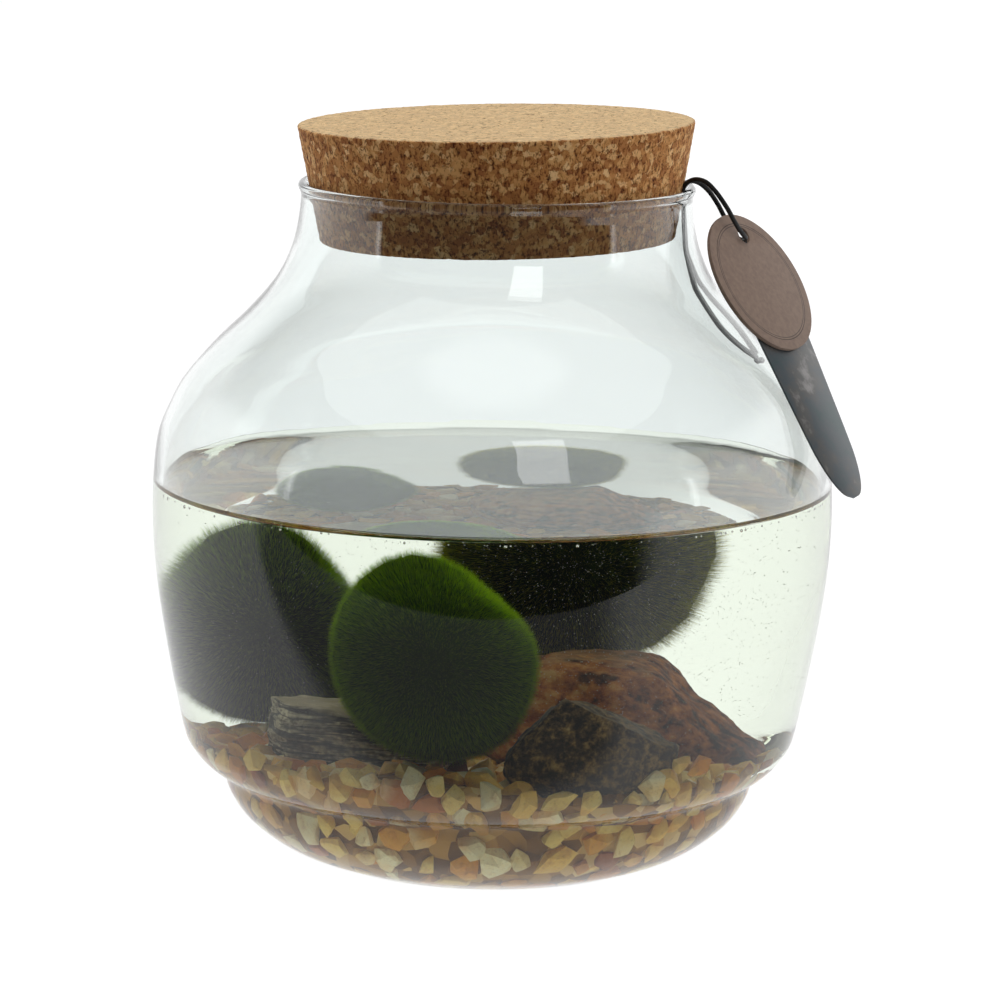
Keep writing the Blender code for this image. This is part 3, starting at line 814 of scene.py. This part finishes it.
# Stones: three broken lumps half sunk in the gravel. Each is its solid of the frame in small faces,
# with a grain of its own: layers in the grey one, lumps in the dark one and ledges in the red one.
STONE_CELL = 0.0006
LAYER = 0.0016
LAYER_TILT = math.radians(10)
BED_LENGTH = 0.010
BED_DEPTH = 0.0011
SCHIST_GRAIN = 0.0010
IRON_PATCH = 0.0024
SAND_PATCH = 0.0036
SAND_STAIN = 0.0070
RED_SIDES = (0.004, 0.044)

grey_up = Vector((math.sin(LAYER_TILT), 0.10, math.cos(LAYER_TILT))).normalized()


def grey_layers(point, normal):
    """Thin beds that stand out by up to half a millimetre, broken along their length."""
    wander = 0.0014 * noise.noise(point / 0.012)
    level = (point.dot(grey_up) + wander) / LAYER
    ledge = noise.noise(Vector((level, point.x / 0.030, point.y / 0.030)))
    crumbs = noise.noise(point / 0.0016)
    return 0.00055 * ledge - 0.0003 + 0.00016 * crumbs


def dark_lumps(point, normal):
    """A pitted, coarse surface."""
    lumps = noise.fractal(point / 0.0055, 1.0, 2.0, 4)
    return 0.00055 * lumps - 0.0002


def red_ledges(point, normal):
    """Broken ledges that run down the slope, with small pits."""
    ledge = noise.noise(Vector((point.x / 0.007 + point.z / 0.004, point.y / 0.010, point.z / 0.012)))
    grain = noise.fractal(point / 0.0035, 1.0, 2.0, 3)
    return 0.0011 * ledge + 0.0004 * grain - 0.0003


def weathering_and_painted_top_light(tree, own, code, edge, share, facing="Normal"):
    """Blends a paler colour by up to share into a surface's own, where that faces up: painted light
    from above, and on the cork also its sanded top.
    """
    normal = add_node(tree, "NewGeometry", {}).outputs[facing]
    up = add_node(tree, "SeparateXYZ", {"Vector": normal}).outputs["Z"]
    start, end = edge
    span = {"Value": up, "From Min": start, "From Max": end, "To Max": share}
    mask = add_node(tree, "MapRange", span)
    return add_node(tree, "Mix", {0: mask, 6: own, 7: colour(code)}, data_type="RGBA")


def add_stone(name, node, material, depth_at):
    """Adds a stone: its solid of the frame in fine faces, carved by what depth_at says."""
    mesh = fine_solid(node, STONE_CELL)
    carve(mesh, depth_at)
    add_piece(name, mesh, [material], [node])


# Grey schist: dark thin beds with paler streaks and a cream top edge, which is painted light where it
# faces up.
grey_schist, tree, shader = new_material("wet grey schist", {"Roughness": 0.6, "IOR": 1.16})
place = add_node(tree, "TexCoord", {}).outputs["Object"]
bed_scale = (1 / BED_LENGTH, 1 / BED_LENGTH, 1 / BED_DEPTH)
turn = (0, -LAYER_TILT, 0)
level = add_node(tree, "Mapping", {"Vector": place, "Rotation": turn, "Scale": bed_scale})
bed_tints = (
    (0.34, "#2a2824"),
    (0.44, "#4c4840"),
    (0.50, "#857d6b"),
    (0.56, "#dcd2b6"),
    (0.64, "#8a816c"),
)
beds, bedded = mottled(tree, level, 1.0, bed_tints, Detail=7.0, Distortion=0.7)
grain_tints = ((0.38, "#6a6760"), (0.60, "#ffffff"))
finish = mottled(tree, place, SCHIST_GRAIN, grain_tints, bedded, 0.7, Detail=5.0)[1]
# Painted light: the faces that look up are paled towards cream.
finish = weathering_and_painted_top_light(tree, finish, "#c4b592", (0.35, 0.85), 0.7)
coat(tree, shader, finish, beds, 0.5, 0.0004)
add_stone("grey_stone", "stone_grey", grey_schist, grey_layers)

# Dark ironstone: brown-black, mottled with olive brown, and finely speckled with ochre.
ironstone, tree, shader = new_material("wet dark ironstone", {"Roughness": 0.55, "IOR": 1.18})
place = add_node(tree, "TexCoord", {}).outputs["Object"]
iron_tints = (
    (0.38, "#1c1712"),
    (0.46, "#35291d"),
    (0.53, "#5f4b31"),
    (0.60, "#876a42"),
    (0.70, "#b09562"),
)
patch, patched = mottled(tree, place, IRON_PATCH, iron_tints, Detail=7.0, Roughness=0.72)
# Painted light: the faces that look up are paled towards ochre brown.
finish = weathering_and_painted_top_light(tree, patched, "#9a7a45", (0.80, 0.98), 0.35)
coat(tree, shader, finish, patch, 0.7, 0.0004)
add_stone("dark_stone", "stone_dark", ironstone, dark_lumps)

# Red sandstone: reddish brown, more orange at its left and darker at its right, with grey-black
# patches and a pale top edge, which is painted light where it faces up.
sandstone, tree, shader = new_material("wet red sandstone", {"Roughness": 0.6, "IOR": 1.16})
place = add_node(tree, "TexCoord", {}).outputs["Object"]
look = {"Vector": place, "Scale": 1 / SAND_PATCH, "Detail": 7.0, "Roughness": 0.68}
patch = add_node(tree, "TexNoise", look)
across = add_node(tree, "SeparateXYZ", {"Vector": place}).outputs["X"]
left, right = RED_SIDES
span = {"Value": across, "From Min": left, "From Max": right, "To Min": 0.10, "To Max": -0.08}
lift = add_node(tree, "MapRange", span)
shade = add_node(tree, "Math", {0: patch, 1: lift}, operation="ADD")
sand_tints = (
    (0.34, "#3a2a22"),
    (0.43, "#7a4526"),
    (0.52, "#a2643a"),
    (0.60, "#bd7c40"),
    (0.70, "#cfa468"),
)
patched = add_node(tree, "ValToRGB", {"Fac": shade}, stops=sand_tints)
stain_tints = ((0.38, "#56504c"), (0.46, "#ffffff"), (1.0, "#ffffff"))
finish = mottled(tree, place, SAND_STAIN, stain_tints, patched, 0.9, Detail=6.0, Roughness=0.6)[1]
# Painted light: the faces that look up are paled towards tan.
finish = weathering_and_painted_top_light(tree, finish, "#c2a171", (0.86, 0.99), 0.45)
coat(tree, shader, finish, patch, 0.6, 0.0005)
add_stone("red_stone", "stone_red", sandstone, red_ledges)


# Moss balls: balls of felted green algae. Each is a deep green matted body with tens of thousands of
# fine threads that stand out all round, in soft tufts, as far as the ball's solid in the frame.
BODY_LUMP = 0.0004
THREAD_WIDTH = 0.00005
THREAD_ROOT = 0.0012
THREAD_LEAN = 0.00040
THREAD_SCATTER = 0.006
TUFT = 0.0030
TUFT_LEAN = 0.0005
# Painted light on the moss balls: the range of upward facing over which the colour goes from its
# painted shade to its painted light, and those two values.
PAINTED_TOP_LIGHT_HEIGHTS = (0.50, 0.88)
PAINTED_TOP_LIGHT_VALUES = (0.74, 1.20)
GLOW_SHARE = 0.8


def moss_ball(node, threads, fringe, felt, seed):
    """One ball as a mesh: a body that lies felt deep, and threads whose tips vary by fringe."""
    rng = np.random.default_rng(seed)
    tree = solid_tree(node)
    low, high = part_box(node)
    centre = (Vector(low) + Vector(high)) / 2

    def reach_along(ways):
        """How far the solid's surface is from the centre, in each direction."""
        reaches = []
        for way in ways:
            spot, normal, face, away = tree.ray_cast(centre, Vector(way))
            reaches.append(away)
        return np.array(reaches)

    body = bmesh.new()
    bmesh.ops.create_icosphere(body, subdivisions=5, radius=1.0)
    body_ways = np.array([vertex.co for vertex in body.verts])
    body_ways /= np.linalg.norm(body_ways, axis=1)[:, None]
    body_faces = np.array([[vertex.index for vertex in face.verts] for face in body.faces])
    body.free()
    body_reach = reach_along(body_ways)
    lumps = np.array([noise.noise(Vector(way) * body_reach[0] / TUFT) for way in body_ways])
    body_corners = body_ways * (body_reach - felt + BODY_LUMP * lumps)[:, None]

    k = np.arange(threads)
    height = 1 - 2 * (k + 0.5) / threads
    around = k * math.pi * (3 - math.sqrt(5))
    ring = np.sqrt(1 - height**2)
    ways = np.stack([ring * np.cos(around), ring * np.sin(around), height], axis=1)
    ways += rng.normal(0, THREAD_SCATTER, ways.shape)
    ways /= np.linalg.norm(ways, axis=1)[:, None]
    reach = reach_along(ways)
    tips = reach - fringe * rng.random(threads) ** 0.7
    tuft = np.array([noise.noise_vector(Vector(way) * reach[0] / TUFT) for way in ways])
    lean = TUFT_LEAN * tuft + rng.normal(0, THREAD_LEAN, ways.shape)
    lean -= ways * (lean * ways).sum(axis=1)[:, None]
    tip = ways * tips[:, None] + lean
    root = ways * (tips - felt - THREAD_ROOT)[:, None]
    first = np.cross(ways, rng.normal(0, 1, ways.shape))
    first /= np.linalg.norm(first, axis=1)[:, None]
    second = np.cross(ways, first)
    width = THREAD_WIDTH * rng.uniform(0.7, 1.2, threads)[:, None]
    sides = (0, math.tau / 3, 2 * math.tau / 3)
    foot = [root + width * (math.cos(side) * first + math.sin(side) * second) for side in sides]
    corners = np.stack([*foot, tip], axis=1).reshape(-1, 3)
    start = len(body_corners) + 4 * k[:, None]
    faces = np.concatenate([start + [0, 1, 3], start + [1, 2, 3], start + [2, 0, 3]])

    mesh = bpy.data.meshes.new(node)
    places = np.concatenate([body_corners, corners]) + np.array(centre)
    mesh.from_pydata(places.tolist(), [], np.concatenate([body_faces, faces]).tolist())
    mesh.shade_smooth()
    values = np.zeros((len(places), 4))
    values[:, 3] = 1.0
    values[: len(body_corners), 1] = 0.5
    # The blue channel holds how far each corner faces up, which the moss material uses to paint light
    # on the ball's top and shade on its underside.
    values[: len(body_corners), 2] = 0.5 + 0.5 * body_ways[:, 2]
    values[len(body_corners) :, 0] = np.tile([0.0, 0.0, 0.0, 1.0], threads)
    values[len(body_corners) :, 1] = np.repeat(rng.random(threads), 4)
    values[len(body_corners) :, 2] = np.repeat(0.5 + 0.5 * ways[:, 2], 4)
    marks = mesh.color_attributes.new("thread", "FLOAT_COLOR", "POINT")
    marks.data.foreach_set("color", values.ravel())
    return mesh


def moss(name, root, middle, tip, odd):
    """Living algae: darkest in the felt, brighter at the threads' tips, and painted brighter on top of
    the ball and darker below it, for the light that falls from above.
    """
    material, tree, shader = new_material(name, {"Roughness": 0.7, "IOR": 1.12})
    mark = add_node(tree, "Attribute", {}, attribute_name="thread")
    parts = add_node(tree, "SeparateColor", {"Color": mark})
    tints = ((0.0, root), (0.40, middle), (0.85, tip))
    along = add_node(tree, "ValToRGB", {"Fac": parts.outputs["Red"]}, stops=tints)
    both = {0: parts.outputs["Green"], 6: along, 7: colour(odd)}
    vivid = add_node(tree, "Mix", both, data_type="RGBA", blend_type="SOFT_LIGHT")
    # Painted light: threads that face up are made brighter and those that face down darker, for the
    # light that falls from above.
    low, high = PAINTED_TOP_LIGHT_HEIGHTS
    dull, bright = PAINTED_TOP_LIGHT_VALUES
    span = {"From Min": low, "From Max": high, "To Min": dull, "To Max": bright}
    painted_top_light_value = add_node(tree, "MapRange", {"Value": parts.outputs["Blue"], **span})
    green = add_node(tree, "HueSaturation", {"Value": painted_top_light_value, "Color": vivid})
    feed(tree, shader, {"Base Color": green})
    glow = add_node(tree, "BsdfTranslucent", {"Color": green})
    lit = add_node(tree, "MixShader", {0: GLOW_SHARE, 1: shader, 2: glow})
    feed(tree, tree.nodes["Material Output"], {"Surface": lit})
    return material


bright_moss = moss("bright marimo algae", "#4c681c", "#628624", "#cee858", "#dcee60")
deep_moss = moss("deep marimo algae", "#304824", "#44662c", "#bcd850", "#e2e660")
# The back ball's pale yellow tips are partly its own colour and partly painted glow, made bright to
# stand for threads lit from behind.
moss_with_painted_tip_glow = moss("yellow-tipped marimo algae with painted tip glow", "#304824", "#4c6e2c", "#f4f070", "#f0ec70")
BALLS = (
    ("front_moss_ball", "marimo_front", bright_moss, 58000, 0.0010, 0.0022, 3),
    ("left_moss_ball", "marimo_left", deep_moss, 45000, 0.0016, 0.0026, 4),
    ("back_moss_ball", "marimo_back", moss_with_painted_tip_glow, 60000, 0.0030, 0.0030, 5),
)
# noise_vector takes its seed from the clock unless it is given one. With this one the tufts lean
# the same way in each run.
TUFT_SEED = 9

noise.seed_set(TUFT_SEED)
for name, node, algae, threads, fringe, felt, seed in BALLS:
    ball_mesh = moss_ball(node, threads, fringe, felt, seed)
    add_piece(name, ball_mesh, [algae], [node])


# Motes: fine pale specks of silt and air that hang in the water, most of them round the back ball.
# Each is a tiny eight-sided grain, and all are joined in one piece.
MOTES = 5000
MOTE_SIZES = (0.00004, 0.00012)
MOTE_TINT_SIZE = 0.001
MOTES_ACROSS = (0.015, 0.040)
MOTES_BACK = (0.010, 0.034)
MOTES_UP = (0.036, 0.0925)
MOTES_FRONT = -0.045

rng = random.Random(31)
mote_corners = []
mote_faces = []
sides = [Vector(side) for side in ((1, 0, 0), (0, 1, 0), (-1, 0, 0), (0, -1, 0), (0, 0, 1), (0, 0, -1))]
octahedron = ((0, 1, 4), (1, 2, 4), (2, 3, 4), (3, 0, 4), (1, 0, 5), (2, 1, 5), (3, 2, 5), (0, 3, 5))
while len(mote_corners) < MOTES * 6:
    point = Vector((rng.gauss(*MOTES_ACROSS), rng.gauss(*MOTES_BACK), rng.uniform(*MOTES_UP)))
    if point.xy.length > inner_radius(point.z) - 0.002 or point.y < MOTES_FRONT:
        continue
    if any(inside(tree, point) for tree in (*ball_trees, *stone_trees)):
        continue
    size = rng.uniform(*MOTE_SIZES)
    start = len(mote_corners)
    mote_corners.extend(point + side * size for side in sides)
    mote_faces.extend(tuple(start + i for i in face) for face in octahedron)
motes_mesh = bpy.data.meshes.new("drifting_motes")
motes_mesh.from_pydata(mote_corners, [], mote_faces)
silt, tree, shader = new_material("pale silt", {"Roughness": 0.6, "IOR": 1.3})
place = add_node(tree, "TexCoord", {}).outputs["Object"]
pale = mottled(tree, place, MOTE_TINT_SIZE, ((0.35, "#c9cbb4"), (0.6, "#f6f6ee")))[1]
feed(tree, shader, {"Base Color": pale})
add_piece("drifting_motes", motes_mesh, [silt])

# Bubbles: small beads of air under the water's surface, most of them along the front edge.
BUBBLES = 130
BUBBLE_SMALLEST = 0.00012
BUBBLE_LARGEST = 0.00045
BUBBLE_RING = 0.0812
BUBBLE_SINK = 0.00003
FIRST_BUBBLE = (-0.0537, -0.0311, 0.0008)

rng = random.Random(77)
beads = [FIRST_BUBBLE]
for k in range(BUBBLES):
    angle = math.radians(rng.uniform(-165, -15))
    out = BUBBLE_RING - (0.0006 if k % 3 else 0.045) * rng.random()
    size = BUBBLE_SMALLEST + (BUBBLE_LARGEST - BUBBLE_SMALLEST) * rng.random() ** 3
    beads.append((out * math.cos(angle), out * math.sin(angle), size))
air_shape = bmesh.new()
for x, y, size in beads:
    spot = Matrix.Translation((x, y, WATER_LEVEL - size - BUBBLE_SINK))
    bmesh.ops.create_icosphere(air_shape, subdivisions=2, radius=size, matrix=spot)
air_mesh = bpy.data.meshes.new("surface_bubbles")
air_shape.to_mesh(air_mesh)
air_shape.free()
air_mesh.shade_smooth()
trapped_air = clear_material("air under water", "#ffffff", 1 / WATER_IOR)[0]
add_piece("surface_bubbles", air_mesh, [trapped_air])


# Cork: a tapered stopper pressed from ground cork, its faces sanded. Crumbs have broken out of the
# sides, and the cord's two strands press their way into it.
CORK_PLACE = Vector((0, 0, 0.1689))
CORK_TILT = math.radians(1.5)
CORK_RADIUS_AT_RIM = 0.04655
CORK_TAPER = 0.183
CORK_ABOVE_RIM = 0.0150
CORK_BELOW_RIM = 0.0140
CORK_EDGE = 0.0006
CORK_STEPS = 440
TOP_STEPS = 44
SIDE_STEPS = 52
UNDER_STEPS = 10
GRANULE = 0.0016
GRANULE_TEAR = 0.0012
TEAR_REACH = 0.0014
BARK_WIDTH = 0.0007
BARK_HEIGHT = 0.0014
PIT = 0.0014
CRUMB_FROM = 0.68
CRUMB_DEPTH = 0.0004
COARSE = 0.0011
COARSE_DEPTH = 0.00016
FINE = 0.0006
FINE_DEPTH = 0.00008
CORD_ROOM = 0.00075

top_radius = CORK_RADIUS_AT_RIM + CORK_TAPER * CORK_ABOVE_RIM
low_radius = CORK_RADIUS_AT_RIM - CORK_TAPER * CORK_BELOW_RIM
cork_outline = [Vector((0.0, CORK_ABOVE_RIM))]
for k in range(1, TOP_STEPS + 1):
    cork_outline.append(Vector(((top_radius - CORK_EDGE) * k / TOP_STEPS, CORK_ABOVE_RIM)))
cork_outline.append(Vector((top_radius - CORK_EDGE * 0.3, CORK_ABOVE_RIM - CORK_EDGE * 0.3)))
for k in range(SIDE_STEPS + 1):
    fall = (CORK_ABOVE_RIM + CORK_BELOW_RIM - 2 * CORK_EDGE) * k / SIDE_STEPS
    height = CORK_ABOVE_RIM - CORK_EDGE - fall
    cork_outline.append(Vector((CORK_RADIUS_AT_RIM + CORK_TAPER * height, height)))
cork_outline.append(Vector((low_radius - CORK_EDGE * 0.3, CORK_EDGE * 0.3 - CORK_BELOW_RIM)))
for k in range(UNDER_STEPS):
    cork_outline.append(Vector(((low_radius - CORK_EDGE) * (1 - k / UNDER_STEPS), -CORK_BELOW_RIM)))
cork_outline.append(Vector((0.0, -CORK_BELOW_RIM)))
cork_mesh = turned("cork_plug", cork_outline, CORK_STEPS)
cork_mesh.transform(Matrix.Translation(CORK_PLACE) @ Matrix.Rotation(-CORK_TILT, 4, "Y"))

inside_cord = [point for point in cord_line if point.x < 0.0500 and point.z > 0.150]
normals = [corner.vector.copy() for corner in cork_mesh.vertex_normals]
for vertex, normal in zip(cork_mesh.vertices, normals):
    point = vertex.co.copy()
    distances, cells = noise.voronoi(point / GRANULE)
    crumb = noise.cell(cells[0] * 7.3)
    coarse = COARSE_DEPTH * (0.5 + noise.noise(point / COARSE))
    fine = FINE_DEPTH * (0.5 + noise.noise(point / FINE))
    depth = coarse + fine
    if crumb > CRUMB_FROM:
        depth += CRUMB_DEPTH * max(0.0, 1 - distances[0] / 0.42)
    if abs(normal.z) > 0.9:
        depth *= 0.5
    point -= normal * depth
    if point.x > 0.042:
        nearest = min(inside_cord, key=lambda spot: (spot - point).length_squared)
        away = point - nearest
        if away.length < CORD_ROOM:
            inward = Vector((-point.x, -point.y, 0)).normalized()
            point += inward * (CORD_ROOM - away.dot(inward))
    vertex.co = point

# Pressed cork: ragged brown granules from 1 to 3 mm, dark upright bark flecks between them, and a
# paler face with small dark pits where the top was sanded; that paleness also paints light from above.
pressed_cork, tree, shader = new_material(
    "pressed cork", {"Roughness": 0.85, "Specular IOR Level": 0.25}
)
place = add_node(tree, "TexCoord", {}).outputs["Object"]
look = {"Vector": place, "Scale": 1 / GRANULE_TEAR, "Detail": 4.0, "Roughness": 0.7}
ragged = add_node(tree, "TexNoise", look).outputs["Color"]
shift = add_node(tree, "VectorMath", {0: ragged, 1: (TEAR_REACH,) * 3}, operation="MULTIPLY")
torn = add_node(tree, "VectorMath", {0: place, 1: shift}, operation="ADD")
granules = add_node(tree, "TexVoronoi", {"Vector": torn, "Scale": 1 / GRANULE})
cork_tints = ((0.10, "#a6693b"), (0.40, "#c4864c"), (0.65, "#dca465"), (0.90, "#f4c88e"))
shades = add_node(tree, "ValToRGB", {"Fac": granules.outputs["Color"]}, stops=cork_tints)
bark_scale = (1 / BARK_WIDTH, 1 / BARK_WIDTH, 1 / BARK_HEIGHT)
upright = add_node(tree, "Mapping", {"Vector": place, "Scale": bark_scale})
bark_tints = ((0.33, "#3c2214"), (0.41, "#b39a80"), (0.50, "#ffffff"))
flecks, barked = mottled(tree, upright, 1.0, bark_tints, shades, 0.9, Detail=5.0, Roughness=0.65)
# The sanded top is paler, and the same paling paints the light that falls on it from above.
sanded_and_top_lit = weathering_and_painted_top_light(tree, barked, "#f2dbad", (0.75, 0.95), 0.6, "True Normal")
pit_tints = ((0.38, "#7a5532"), (0.43, "#ffffff"))
finish = mottled(tree, place, PIT, pit_tints, sanded_and_top_lit, 0.85, Detail=4.0, Roughness=0.75)[1]
coat(tree, shader, finish, flecks, 0.6, 0.0003)
add_piece("cork_plug", cork_mesh, [pressed_cork], ["cork_stopper"])


# Tags: two cards on the cord, a long grey one behind that narrows downwards, and a round brown one in
# front. Both are cut from card with one punched hole and hang in one plane at the jar's shoulder.
TAG_HOLE_POINT = Vector((0.0599, -0.0063, 0.1566))
TAG_FACING = Vector((0.708, -0.451, 0.544)).normalized()
TAG_DOWN = Vector((0.391, -0.391, -0.833))
TAG_HOLE_RADIUS = 0.0022
STRIP_SIDE = (
    (0.0050, 0.0000),
    (0.0043, 0.0045),
    (0.0018, 0.0082),
    (-0.0025, 0.0106),
    (-0.0090, 0.0119),
    (-0.0180, 0.0121),
    (-0.0280, 0.0115),
    (-0.0420, 0.0104),
    (-0.0550, 0.0093),
    (-0.0612, 0.0084),
    (-0.0668, 0.0064),
    (-0.0704, 0.0036),
    (-0.0716, 0.0000),
)
STRIP_THICKNESS = 0.0005
ROUND_RADIUS = 0.0187
ROUND_CENTRE = Vector((-0.0014, -0.0129))
ROUND_THICKNESS = 0.0010
ROUND_LIFT = 0.0011
EDGE_ROUND = 0.00010
MIST = 0.014
FIBRE = 0.0012
# The painted shade of the pressed ring: the radius and tone of each line, and the widths over which
# they fade.
GROOVE_SHADE_RINGS = ((0.0161, "#4a3f3a"), (0.0155, "#5d504a"))
GROOVE_SHADE_EDGE = (0.00006, 0.00014)

tag_down = (TAG_DOWN - TAG_FACING * TAG_DOWN.dot(TAG_FACING)).normalized()
tag_axes = Matrix((TAG_FACING.cross(tag_down), -tag_down, TAG_FACING)).transposed()
tag_frame = Matrix.Translation(TAG_HOLE_POINT) @ tag_axes.to_4x4()


def arc(centre, radius, start, end, steps):
    """Points along part of a circle, both ends included."""
    angles = [start + (end - start) * k / steps for k in range(steps + 1)]
    return [Vector(centre) + radius * Vector((math.cos(angle), math.sin(angle))) for angle in angles]


def card(name, outline, thickness):
    """A flat card with a hole at its origin and slightly rounded edges, as a mesh."""
    curve = bpy.data.curves.new(name, "CURVE")
    curve.dimensions = "2D"
    curve.fill_mode = "BOTH"
    curve.extrude = thickness / 2 - EDGE_ROUND
    curve.bevel_depth = EDGE_ROUND
    curve.bevel_resolution = 1
    curve.offset = -EDGE_ROUND
    for loop in (outline, arc((0, 0), TAG_HOLE_RADIUS, 0, math.tau, 32)[:-1]):
        spline = curve.splines.new("POLY")
        spline.points.add(len(loop) - 1)
        spline.use_cyclic_u = True
        for point, place in zip(spline.points, loop):
            point.co = (place.x, place.y, 0.0, 1.0)
    mesh = shown_mesh(bpy.data.objects.new(f"{name}_guide", curve))
    shape = bmesh.new()
    shape.from_mesh(mesh)
    bmesh.ops.remove_doubles(shape, verts=shape.verts, dist=1e-6)
    shape.to_mesh(mesh)
    shape.free()
    mesh.name = name
    mesh.shade_smooth()
    mesh.set_sharp_from_angle(angle=math.radians(30))
    return mesh


# Coated card: grey, mottled like mist over stone, with a gloss that shows the room softly.
coated_card, tree, shader = new_material("coated grey card", {"Roughness": 0.28, "IOR": 1.5})
place = add_node(tree, "TexCoord", {}).outputs["Object"]
mist_tints = ((0.38, "#435557"), (0.50, "#4f565b"), (0.60, "#5c5b59"), (0.69, "#8e8b8a"))
misty = mottled(tree, place, MIST, mist_tints, Detail=5.0, Roughness=0.65)[1]
feed(tree, shader, {"Base Color": misty})
right_side = smooth_line([(width, height) for height, width in reversed(STRIP_SIDE)], 5)
left_side = smooth_line([(-width, height) for height, width in STRIP_SIDE], 5)
strip_mesh = card("strip_card", right_side[:-1] + left_side[:-1], STRIP_THICKNESS)
strip_mesh.transform(tag_frame)
strip = add_piece("strip_card", strip_mesh, [coated_card], ["strip_tag"])

# Kraft board: matt, brown, finely fibrous, with two dark ring lines inside its edge, painted shade of a
# ring pressed into it.
kraft_board, tree, shader = new_material("matt brown board", {"Roughness": 0.62, "IOR": 1.45})
place = add_node(tree, "TexCoord", {}).outputs["Object"]
shade = mottled(tree, place, FIBRE, ((0.30, "#877266"), (0.70, "#968071")), Detail=4.0)[1]
middle = add_node(tree, "VectorMath", {0: place, 1: (*ROUND_CENTRE, 0)}, operation="SUBTRACT")
flat = add_node(tree, "VectorMath", {0: middle, 1: (1, 1, 0)}, operation="MULTIPLY")
away = add_node(tree, "VectorMath", {0: flat}, operation="LENGTH")
start, end = GROOVE_SHADE_EDGE
# Each ring line is painted shade where the ring is pressed into the board.
for radius, tone in GROOVE_SHADE_RINGS:
    off = add_node(tree, "Math", {0: away, 1: radius}, operation="SUBTRACT")
    off = add_node(tree, "Math", {0: off}, operation="ABSOLUTE")
    span = {"Value": off, "From Min": start, "From Max": end, "To Min": 1.0, "To Max": 0.0}
    line = add_node(tree, "MapRange", span)
    shade = add_node(tree, "Mix", {0: line, 6: shade, 7: colour(tone)}, data_type="RGBA")
feed(tree, shader, {"Base Color": shade})
round_mesh = card("round_card", arc(ROUND_CENTRE, ROUND_RADIUS, 0, math.tau, 96)[:-1], ROUND_THICKNESS)
round_card = add_piece("round_card", round_mesh, [kraft_board], ["round_tag"])
round_card.matrix_world = tag_frame @ Matrix.Translation((0, 0, ROUND_LIFT))

bpy.context.view_layer.update()
